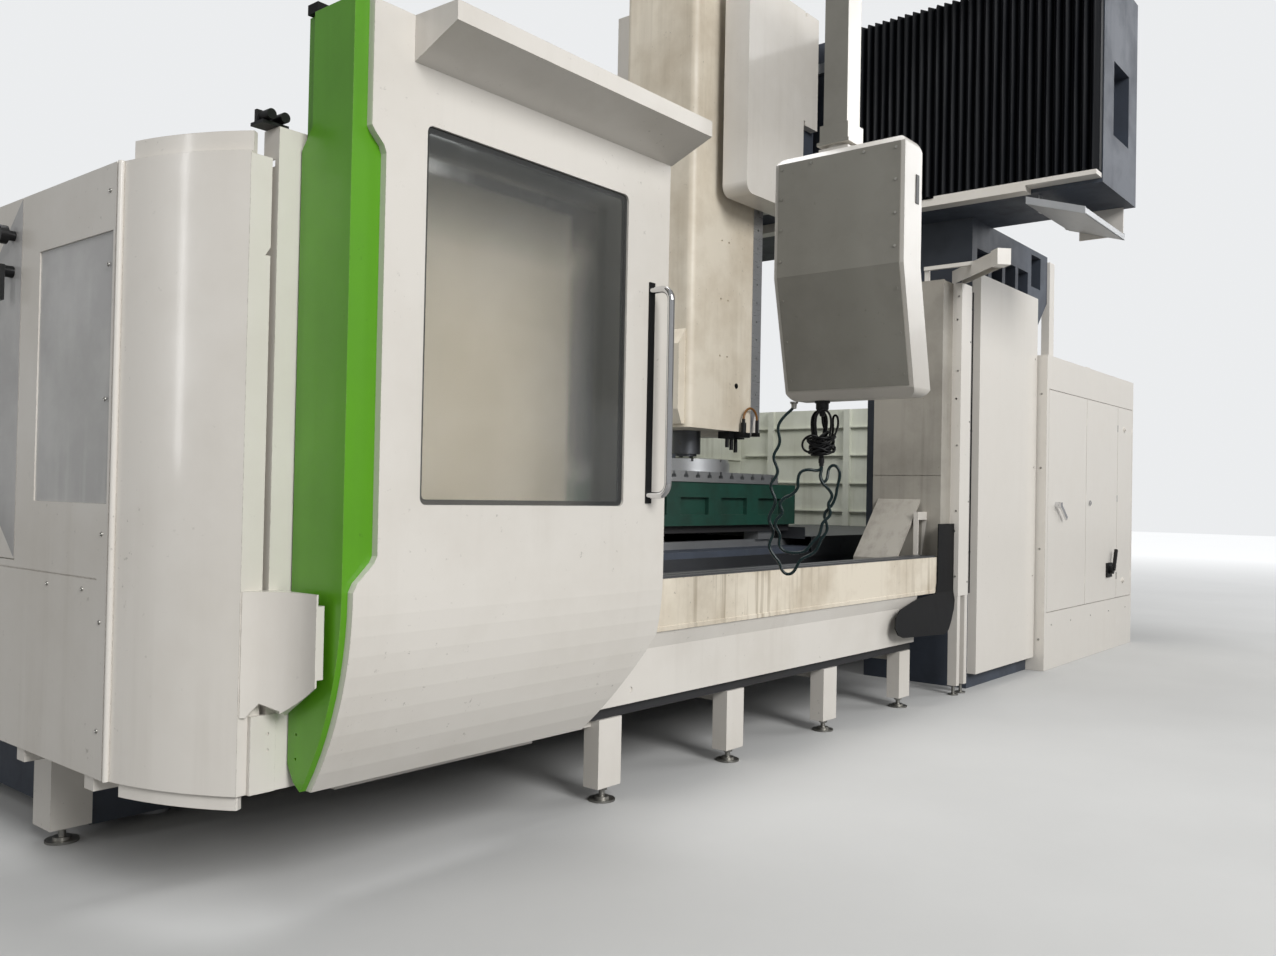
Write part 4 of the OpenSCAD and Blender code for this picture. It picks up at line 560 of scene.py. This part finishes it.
def turned(bm, profile, origin, axis, steps=24):
    """Revolves (radius, height) pairs about axis, from origin, with closed ends."""
    z = Vector(axis).normalized()
    x = z.orthogonal().normalized()
    y = z.cross(x)
    rings = []
    for r, h in profile:
        ring = []
        for k in range(steps):
            a = 2 * math.pi * k / steps
            ring.append(bm.verts.new(origin + z * h + (x * math.cos(a) + y * math.sin(a)) * r))
        rings.append(ring)
    for a, b in zip(rings, rings[1:]):
        for k in range(steps):
            bm.faces.new((a[k], a[(k + 1) % steps], b[(k + 1) % steps], b[k]))
    bm.faces.new(rings[0][::-1])
    bm.faces.new(rings[-1])


def block(bm, a, b, bevel):
    """A box between two drawing points, its edges rounded by bevel millimetres."""
    lo, hi = at(*a), at(*b)
    made = bmesh.ops.create_cube(bm, size=1.0)["verts"]
    for v in made:
        v.co = Vector(lo[k] + (v.co[k] + 0.5) * (hi[k] - lo[k]) for k in range(3))
    edges = {e for v in made for e in v.link_edges}
    bmesh.ops.bevel(bm, geom=list(edges), offset=bevel / 1000, segments=2, affect="EDGES",
                    profile=0.6)


def button_screw(bm, origin, axis, d=0.012):
    """The head of a button head screw with a round recess."""
    r, head = d / 2, 0.004
    turned(bm, [(r, 0.0), (r, head * 0.3), (r * 0.86, head * 0.75), (r * 0.55, head),
                (r * 0.5, head), (r * 0.42, head * 0.45)], origin, axis, 16)


def along(points, count):
    """Points on a smooth line through the given ones (centripetal Catmull-Rom)."""
    ends = [2 * points[0] - points[1]] + points + [2 * points[-1] - points[-2]]
    out = []
    for p0, p1, p2, p3 in zip(ends, ends[1:], ends[2:], ends[3:]):
        t0 = 0.0
        t1 = t0 + max((p1 - p0).length, 1e-6) ** 0.5
        t2 = t1 + max((p2 - p1).length, 1e-6) ** 0.5
        t3 = t2 + max((p3 - p2).length, 1e-6) ** 0.5
        for k in range(count):
            t = t1 + (t2 - t1) * k / count
            a1 = p0.lerp(p1, (t - t0) / (t1 - t0))
            a2 = p1.lerp(p2, (t - t1) / (t2 - t1))
            a3 = p2.lerp(p3, (t - t2) / (t3 - t2))
            b1 = a1.lerp(a2, (t - t0) / (t2 - t0))
            b2 = a2.lerp(a3, (t - t1) / (t3 - t1))
            out.append(b1.lerp(b2, (t - t1) / (t2 - t1)))
    out.append(points[-1])
    return out


def eased(points, step, rounds):
    """The same line at even steps, its tight bends let out and its ends kept."""
    even, walked, goal = [points[0]], 0.0, step
    for a, b in zip(points, points[1:]):
        d = (b - a).length
        while walked + d >= goal:
            even.append(a.lerp(b, (goal - walked) / d))
            goal += step
        walked += d
    even[-1] = points[-1]
    for _ in range(rounds):
        middle = [(a + 2 * b + c) / 4 for a, b, c in zip(even, even[1:], even[2:])]
        even = [even[0]] + middle + [even[-1]]
    return even


def curve_piece(name, points, diameter, body, finish):
    """A round cord as one open curve through the points."""
    c = bpy.data.curves.new(name, "CURVE")
    c.dimensions = "3D"
    c.bevel_depth = diameter / 2
    c.bevel_resolution = 4
    c.use_fill_caps = True
    s = c.splines.new("POLY")
    s.points.add(len(points) - 1)
    for q, p in zip(s.points, points):
        q.co = (*p, 1)
    c.materials.append(MATS[finish])
    s.use_smooth = True
    o = bpy.data.objects.new(name, c)
    bpy.context.scene.collection.objects.link(o)
    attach(o, body)
    return o


# ---------------------------------------------------------------- operators


class MACHINE_OT_finishes(bpy.types.Operator):
    """Build the shared node groups and every finish"""

    bl_idname = "machine.finishes"
    bl_label = "Finishes"

    def execute(self, context):
        build_weathering()
        build_brushing()
        build_cloth_dust()
        build_materials()
        return {"FINISHED"}


class MACHINE_OT_stage(bpy.types.Operator):
    """Set up the camera, the pale floor and the soft light"""

    bl_idname = "machine.stage"
    bl_label = "Stage"

    def execute(self, context):
        scene = context.scene
        look = scene.stage_look
        cam = bpy.data.objects.new("camera", bpy.data.cameras.new("camera"))
        scene.collection.objects.link(cam)
        cam.data.sensor_width = SENSOR_MM
        cam.data.lens = LENS_MM
        cam.data.clip_end = 200
        turn = Matrix((CAMERA_RIGHT, CAMERA_UP, CAMERA_BACK)).transposed()
        cam.matrix_world = Matrix.Translation(CAMERA_PLACE) @ turn.to_4x4()
        scene.camera = cam
        self.floor(scene, look)
        self.world(scene, look)
        self.lamps(scene, look)
        scene.view_settings.view_transform = "Standard"
        return {"FINISHED"}

    def floor(self, scene, look):
        """A pale floor that fades out far off and throws little of its colour on the machine."""
        reach, thrown, fade_from, fade_to = 45, 0.42, 5.5, 22
        bm = bmesh.new()
        bmesh.ops.create_grid(bm, x_segments=2, y_segments=2, size=reach)
        mesh = bpy.data.meshes.new("floor")
        bm.to_mesh(mesh)
        bm.free()
        o = bpy.data.objects.new("floor", mesh)
        o.location.z = -0.001
        scene.collection.objects.link(o)
        m, t, shader = fresh("floor_pale")
        p = t.add("ShaderNodeTexCoord").outputs["Object"]
        mottle = t.noise(p, 0.8, 5)
        rays = t.add("ShaderNodeLightPath").outputs
        tone = t.blend(t.ramp(mottle, 0.35, 0.7), look.floor, scaled(look.floor, 0.94))
        t.tree.links.new(t.blend(rays["Is Camera Ray"], scaled(look.floor, thrown), tone),
                         shader.inputs["Base Color"])
        shader.inputs["Roughness"].default_value = 0.75
        far = t.add("ShaderNodeVectorMath", {0: p}, operation="LENGTH").outputs["Value"]
        glow = t.maths("MULTIPLY", t.ramp(far, fade_from, fade_to), rays["Is Camera Ray"])
        t.tree.links.new(t.blend(glow, (0, 0, 0), (0.74, 0.75, 0.76)),
                         shader.inputs["Emission Color"])
        shader.inputs["Emission Strength"].default_value = 1.0
        mesh.materials.append(m)

    def world(self, scene, look):
        """Even light on the machine, and a backdrop to the camera and through the panes."""
        backdrop = 0.86
        world = bpy.data.worlds.new("studio")
        scene.world = world
        world.use_nodes = True
        t = Tree(world.node_tree)
        bg = next(n for n in world.node_tree.nodes if n.type == "BACKGROUND")
        rays = t.add("ShaderNodeLightPath").outputs
        seen = t.maths("MAXIMUM", rays["Is Camera Ray"], rays["Is Transmission Ray"])
        bg.inputs["Color"].default_value = (0.97, 0.985, 1.0, 1)
        t.tree.links.new(t.ramp(seen, 0, 1, look.sky, backdrop), bg.inputs["Strength"])

    def lamps(self, scene, look):
        """The soft lamps, each aimed at its target."""
        for name, share, place, target, size in LAMPS:
            light = bpy.data.lights.new(name, "AREA")
            light.energy = look.lamp * share
            light.size = size
            if name == "strip":
                light.shape = "RECTANGLE"
                light.size_y = STRIP_HEIGHT
            o = bpy.data.objects.new(name, light)
            o.location = place
            o.rotation_euler = (Vector(target) - Vector(place)).to_track_quat("-Z", "Y").to_euler()
            scene.collection.objects.link(o)


class MACHINE_OT_cords(bpy.types.Operator):
    """Hang the tied cable hank and the two coiled hoses under the pendant"""

    bl_idname = "machine.cords"
    bl_label = "Cable and hoses"

    def execute(self, context):
        s = context.scene.hose_sizes
        under = at(CORD_X, CORD_Y, PENDANT_FOOT)
        end = at(CORD_X - 4, CORD_Y - 2, PENDANT_FOOT - 212)
        hank, route = self.hank(s, end)
        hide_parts("pendant_cord")
        gland = self.fitting("cable_gland", GLAND, under, "plastic", "black_plastic", 28)
        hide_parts("pendant_cord")
        coupling = self.fitting("hose_coupling", COUPLING, end, "plastic", "black_plastic")
        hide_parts("pendant_cord")
        foot = end + Vector((0, 0, -0.043))
        long_hose = self.long_hose(s, foot)
        short_hose = self.short_hose(s, foot)
        for hose, _ in (long_hose, short_hose):
            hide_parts("pendant_cord")
        self.fitting("hose_socket", SOCKET, long_hose[1][0], "zinc", "machined_steel")
        return {"FINISHED"}

    def fitting(self, name, profile, origin, finish, slot, steps=24):
        """A turned fitting that hangs from origin and rides on the pendant."""
        bm = bmesh.new()
        turned(bm, profile, origin, (0, 0, 1), steps)
        return piece(name, bm, "pendant", finish)

    def hung(self, rows):
        """Points under the gland from rows of millimetres: across, down, towards the camera."""
        return [at(CORD_X + ACROSS[0] * a + TOWARDS[0] * n, CORD_Y + ACROSS[1] * a + TOWARDS[1] * n,
                   PENDANT_FOOT - d) for a, d, n in rows]

    def hank(self, s, end):
        """The cable hangs in long bights that the rest of it is wound around."""
        points = [at(CORD_X, CORD_Y, PENDANT_FOOT - down) for down in (22, 50, 74)]
        points += self.hung(HANK_START)
        steps, bights, turns = 24, s.bights, s.turns
        depth = [random.uniform(25, 42) * (-1 if k < bights / 2 else 1) for k in range(bights + 2)]
        sway = [random.uniform(-8, 8) for _ in range(bights + 2)]
        girth = [random.uniform(17, 28) for _ in range(bights + 2)]
        for k in range(int(steps * 0.5), int(steps * (bights + 0.25)) + 1):
            n, part = divmod(k / steps, 1.0)
            n = int(n)
            cross = min(1.0, max(0.0, (part - 0.3) / 0.4))
            cross = cross * cross * (3 - 2 * cross)
            near, off, wide = (row[n] * (1 - cross) + row[n + 1] * cross
                               for row in (depth, sway, girth))
            high = math.cos(2 * math.pi * part)
            wide += 17 * max(0.0, high + 0.1)
            points += self.hung([(wide * math.sin(2 * math.pi * part) + off, 118 - 88 * high,
                                  -near)])
        loose = [(random.uniform(36, 58), random.uniform(10, 44), random.uniform(0, 6.3),
                  random.uniform(-9, 9), random.uniform(136, 192)) for _ in range(turns + 2)]
        for k in range(int(steps * turns) + 1):
            n, part = divmod(k / steps, 1.0)
            part = part * part * (3 - 2 * part)
            wide, tilt, lean, off, down = (a * (1 - part) + b * part
                                           for a, b in zip(loose[int(n)], loose[int(n) + 1]))
            a = 2 * math.pi * k / steps
            points += self.hung([(off + wide * math.cos(a), down - tilt * math.sin(a + lean),
                                  wide * 0.85 * math.sin(a))])
        points += self.hung(HANK_END)
        points += [end + Vector((0, 0, 0.012)), end]
        route = eased(along(points, 3), CABLE_STEP, 34)
        return curve_piece("cable_hank", route, s.cable, "pendant", "cable"), route

    def long_hose(self, s, end):
        """The hose from its socket down and up again to the coupling."""
        start = at(CORD_X - 20, HOSE_Y, PENDANT_FOOT)
        first = [start, start + Vector((0, 0, -0.014)), start + Vector((0, 0.002, -0.024))]
        last = [end + Vector((0, 0, -0.014)), end]
        path = eased(along(first + self.hung(LONG_ROUTE) + last, 8), HOSE_STEP, 12)
        return curve_piece("coiled_hose", path, s.hose, "pendant", "hose"), path

    def short_hose(self, s, end):
        """The hose that leaves the coupling and comes back to it."""
        first = [end, end + Vector((0, 0, -0.012))]
        last = [end + Vector((0.004, 0, -0.014)), end + Vector((0.002, 0, -0.002))]
        path = eased(along(first + self.hung(SHORT_ROUTE) + last, 8), HOSE_STEP, 10)
        return curve_piece("short_hose", path, s.hose, "pendant", "hose"), path


class MACHINE_OT_sheets(bpy.types.Operator):
    """Paint the sheet metal of the enclosure"""

    bl_idname = "machine.sheets"
    bl_label = "Enclosure sheets"

    def execute(self, context):
        for name in ("corner_panel", "end_wall", "side_fairing", "door_canopy", "front_panel",
                     "beam_ledge", "legs", "boom_arm", "saddle_cover"):
            paint_node(name, "white")
        for name in ("column_cover", "cab_door_left", "cab_door_side"):
            paint_node(name, "clean")
        # Painted shade: the pendant housing is a darker copy of the enclosure white.
        paint_node("pendant_housing", "shell")
        paint_node("door_skin", "white")
        leaf = low("end_door").x
        paint_node("end_door", "white",
                   (lambda x, y, z: leaf + 16 < x < leaf + 23.5 and 1249.5 < z < 1950.5,
                    "end_pane"))
        paint_node("lower_panel", "white",
                   # Painted shade: the recessed band at the foot of the lower panel, behind its
                   # front and below 471 mm, is black.
                   (lambda x, y, z: y > -2012.5 and z < 471, "dark_paint"))
        paint_node("sill", "sill")
        arm = low("drop_arm").x
        # Painted shade: the drop arm's left face above 2200 mm takes the darker taupe.
        paint_node("drop_arm", "white", (lambda x, y, z: x < arm + 25 and z > 2200, "plate"))
        edge = low("door_frame").x
        paint_node("door_frame", "green",
                   (lambda x, y, z: x > edge + 121 or y > -2156.6 and x > edge + 18.5, "inner"),
                   (lambda x, y, z: z < 940 and x > edge + 1000 and y > -2090, "steel"),
                   (lambda x, y, z: z > 2625.1, "rubber"))
        paint_node("inner_wall", "inner",
                   (lambda x, y, z: 444 < x < 577 and -1941 < y < -1909 and 899 < z < 1171,
                    "white"),
                   (lambda x, y, z: z < 861 and not (244 < x < 577 and -1900 < y < -1599), "cover"))
        paint_node("enclosure_rear", "rear", (lambda x, y, z: y > 2099 or x > 4434, "white"))
        paint_node("top_arm", "white",
                   (lambda x, y, z: x > 885.1 and z < 2621 and y > -2080, "rubber"))
        paint_node("cabinet", "clean",
                   (lambda x, y, z: 2200 < x < 3900 and -1587 < y < -1579.5 and 559 < z < 1951,
                    "zinc_plate"),
                   (lambda x, y, z: 2300 < x < 3900 and -1711 < y < -1587 and 699 < z < 1891,
                    "plate"))
        paint_node("cab_door_right", "clean",
                   (lambda x, y, z: y < -2160.1 and z > 1000, "chrome"),
                   (lambda x, y, z: y < -2160.1 and z < 800, "plastic"))
        return {"FINISHED"}


class MACHINE_OT_castings(bpy.types.Operator):
    """Paint the castings and finish the ground and rolled steel"""

    bl_idname = "machine.castings"
    bl_label = "Castings and steel"

    def execute(self, context):
        for name in ("column_front", "column_rear"):
            paint_node(name, "casting")
        beam = low("crossbeam").x + 30
        paint_node("crossbeam", "casting", (lambda x, y, z: x < beam - 0.2, "steel"),
                   (lambda x, y, z: z > 4440.2, "dark_paint"))
        paint_node("bed", "casting",
                   (lambda x, y, z: z > 900.2, "steel"),
                   (lambda x, y, z: abs(y) < 111 and z > 745 and abs(x) < 4040, "steel"),
                   (lambda x, y, z: z < 39.9, "steel"))
        paint_node("saddle", "casting", (lambda x, y, z: x > 594.8 or x < 374.9, "steel"))
        paint_node("ram", "cream", (lambda x, y, z: z > 4900.2, "plastic"),
                   (lambda x, y, z: y < -850.2, "rubber"))
        paint_node("ram_rails", "rail", (lambda x, y, z: z < 1714.8, "white"))
        paint_node("table_casting", "table",
                   # Painted shade: the band of the table casting under its green body, from 1007 to
                   # 1055 mm, is black.
                   (lambda x, y, z: z < 1054.9, "dark_paint"),
                   (lambda x, y, z: z < 1007.1, "steel"))
        for name, finish in (("table_plate", "steel"), ("disc", "steel"), ("feet", "zinc"),
                             ("sill_strip", "sill_steel")):
            paint_node(name, finish)
        for name in ("spindle", "cover_left_a", "cover_left_b", "cover_left_c", "cover_right_a",
                     "cover_right_b"):
            paint_node(name, "cover")
        paint_node("drip_trays", "steel", (lambda x, y, z: x > 1333.2 and z > 2959, "white"))
        paint_node("cab_handle", "chrome")
        skin = low("door_skin").y
        paint_node("door_handle", "chrome", (lambda x, y, z: y > skin - 5.4, "rubber"))
        return {"FINISHED"}


class MACHINE_OT_soft_parts(bpy.types.Operator):
    """Finish the glass, bellows, rubber, plastic and the pendant"""

    bl_idname = "machine.soft_parts"
    bl_label = "Glass, bellows and pendant"

    def execute(self, context):
        face = low("door_skin").y
        paint_node("door_glass", "glass", (lambda x, y, z: y > face + 16.2, "rubber"))
        paint_node("end_glass", "end_pane")
        for name in ("bellows_front", "bellows_rear"):
            self.bellows(name)
        paint_node("apron", "rubber")
        for name in ("guide_brackets", "end_latches", "switch_lever", "override_knob"):
            paint_node(name, "plastic")
        paint_node("pendant_cord", "rubber")
        paint_node("coolant_line", "plastic", (lambda x, y, z: z > 1760.5, "brown"))
        paint_node("pendant_back", "plate", (lambda x, y, z: y < -3160.1, "plastic"),
                   (lambda x, y, z: z > 2093 and x < -2360.6, "zinc"))
        paint_node("pendant_screen", "screen")
        paint_node("pendant_keys", "plastic")
        paint_node("estop", "red")
        return {"FINISHED"}

    def bellows(self, name):
        """The pleated cloth between the beam's end and the saddle, with its end plates."""
        node_lo, node_hi = low(name), high(name)
        front = name == "bellows_front"
        y0, y1, z0, z1 = node_lo.y, node_hi.y, node_lo.z, node_hi.z
        outer, fold = 633.0, node_lo.x + 1.2
        line = self.pleats(outer, fold, y0, y1, 34 if front else 56)
        bm = bmesh.new()
        self.sheet(bm, line, z0, z1)
        for y, inner in ((y0 + 0.3, front), (y1 - 11.7, not front)):
            back = node_hi.x - 0.4 if inner else 651.5
            block(bm, (outer + 1, y, z0 + 0.5), (back, y + 11.4, z1 - 0.5), 1.5)
        cloth_piece = mesh_object(name + "_cloth", bm, "bellows", 40)
        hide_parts(name)
        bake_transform(cloth_piece)

    def pleats(self, outer, fold, y0, y1, count):
        """The plan of the pleats, as (x, y, loose): loose points sag, those at the back don't."""
        valley, crest, shoulder, inset = 1.6, 1.8, 5.0, 3.0
        pitch = (y1 - y0) / count
        line = []
        for i in range(count + 1):
            y = y0 + i * pitch
            sway = random.uniform(-2.2, 2.2) if 0 < i < count else 0
            line += [(outer, y - valley if i else y, 0),
                     (outer, y + valley if i < count else y, 0)]
            if i < count:
                mid = y + pitch / 2 + sway
                line += [(fold + inset, mid - shoulder, 1), (fold, mid - crest, 1),
                         (fold, mid + crest, 1), (fold + inset, mid + shoulder, 1)]
        return line

    def sheet(self, bm, line, z0, z1):
        """A closed sheet of cloth that stands on the line from z0 to z1."""
        levels, thick, sag = 9, 9.0, 1.6
        sheets = []
        for back in (0.0, thick):
            rows = []
            for k in range(levels):
                z = z0 + (z1 - z0) * k / (levels - 1)
                rows.append([
                    bm.verts.new(at(x + back, y + loose * sag * math.sin(k * 0.9 + n * 0.37), z))
                    for n, (x, y, loose) in enumerate(line)])
            sheets.append(rows)
        count = len(line)
        for side, rows in enumerate(sheets):
            for a, b in zip(rows, rows[1:]):
                for n in range(count - 1):
                    quad = (a[n], a[n + 1], b[n + 1], b[n])
                    bm.faces.new(quad if side else quad[::-1])
        near, far = sheets
        for k in (0, levels - 1):
            for n in range(count - 1):
                bm.faces.new((near[k][n], near[k][n + 1], far[k][n + 1], far[k][n]))
        for k in range(levels - 1):
            for n in (0, count - 1):
                bm.faces.new((near[k][n], near[k + 1][n], far[k + 1][n], far[k][n]))


class MACHINE_OT_screws(bpy.types.Operator):
    """Add the small screws on the enclosure sheets"""

    bl_idname = "machine.screws"
    bl_label = "Screws"

    def execute(self, context):
        bm = bmesh.new()
        left, ahead = (-1, 0, 0), (0, -1, 0)
        # end wall, along its front edge and under the window
        for z in (520, 840, 1100, 1500, 1900, 2120):
            button_screw(bm, at(-4435, -1620, z), left, 0.014)
        for y in (-1500, -1250, 1000, 1500, 1950):
            button_screw(bm, at(-4435, y, 930), left, 0.014)
        # jamb post beside the opening
        for z in (760, 1180, 1600, 2080, 2560):
            button_screw(bm, at(725, -2070, z), left, 0.013)
        for z in (720, 1240, 1760, 2280):
            button_screw(bm, at(870, -2090, z), ahead)
        # cabinet side and plinth
        for z in (230, 900, 1500, 2050):
            button_screw(bm, at(2145, -2120, z), left, 0.016)
        for x in (2300, 2750, 3250, 3750, 4250):
            button_screw(bm, at(x, -2160, 330), ahead)
        piece("enclosure_screws", bm, "machine", "zinc")
        return {"FINISHED"}


OPERATORS = (MACHINE_OT_finishes, MACHINE_OT_stage, MACHINE_OT_cords, MACHINE_OT_sheets,
             MACHINE_OT_castings, MACHINE_OT_soft_parts, MACHINE_OT_screws)
SETTINGS = (("sheet_paint", SheetPaint), ("casting_paint", CastingPaint),
            ("hose_sizes", HoseSizes), ("stage_look", StageLook))


class MACHINE_PT_build(bpy.types.Panel):
    """Lists the machine's steps and their settings"""

    bl_idname = "MACHINE_PT_build"
    bl_label = "Machining centre"
    bl_space_type = "VIEW_3D"
    bl_region_type = "UI"
    bl_category = "Machine"

    def draw(self, context):
        for op in OPERATORS:
            self.layout.operator(op.bl_idname)
        for name, _ in SETTINGS:
            box = self.layout.box()
            settings = getattr(context.scene, name)
            for key in type(settings).__annotations__:
                box.prop(settings, key)


def register():
    for _, cls in SETTINGS:
        bpy.utils.register_class(cls)
    for name, cls in SETTINGS:
        setattr(bpy.types.Scene, name, bpy.props.PointerProperty(type=cls))
    for cls in (*OPERATORS, MACHINE_PT_build):
        bpy.utils.register_class(cls)


def unregister():
    for cls in (MACHINE_PT_build, *reversed(OPERATORS)):
        bpy.utils.unregister_class(cls)
    for name, cls in SETTINGS:
        delattr(bpy.types.Scene, name)
        bpy.utils.unregister_class(cls)


def main():
    register()
    random.seed(7)
    for op in OPERATORS:
        group, name = op.bl_idname.split(".")
        getattr(getattr(bpy.ops, group), name)()


if __name__ == "__main__":
    main()
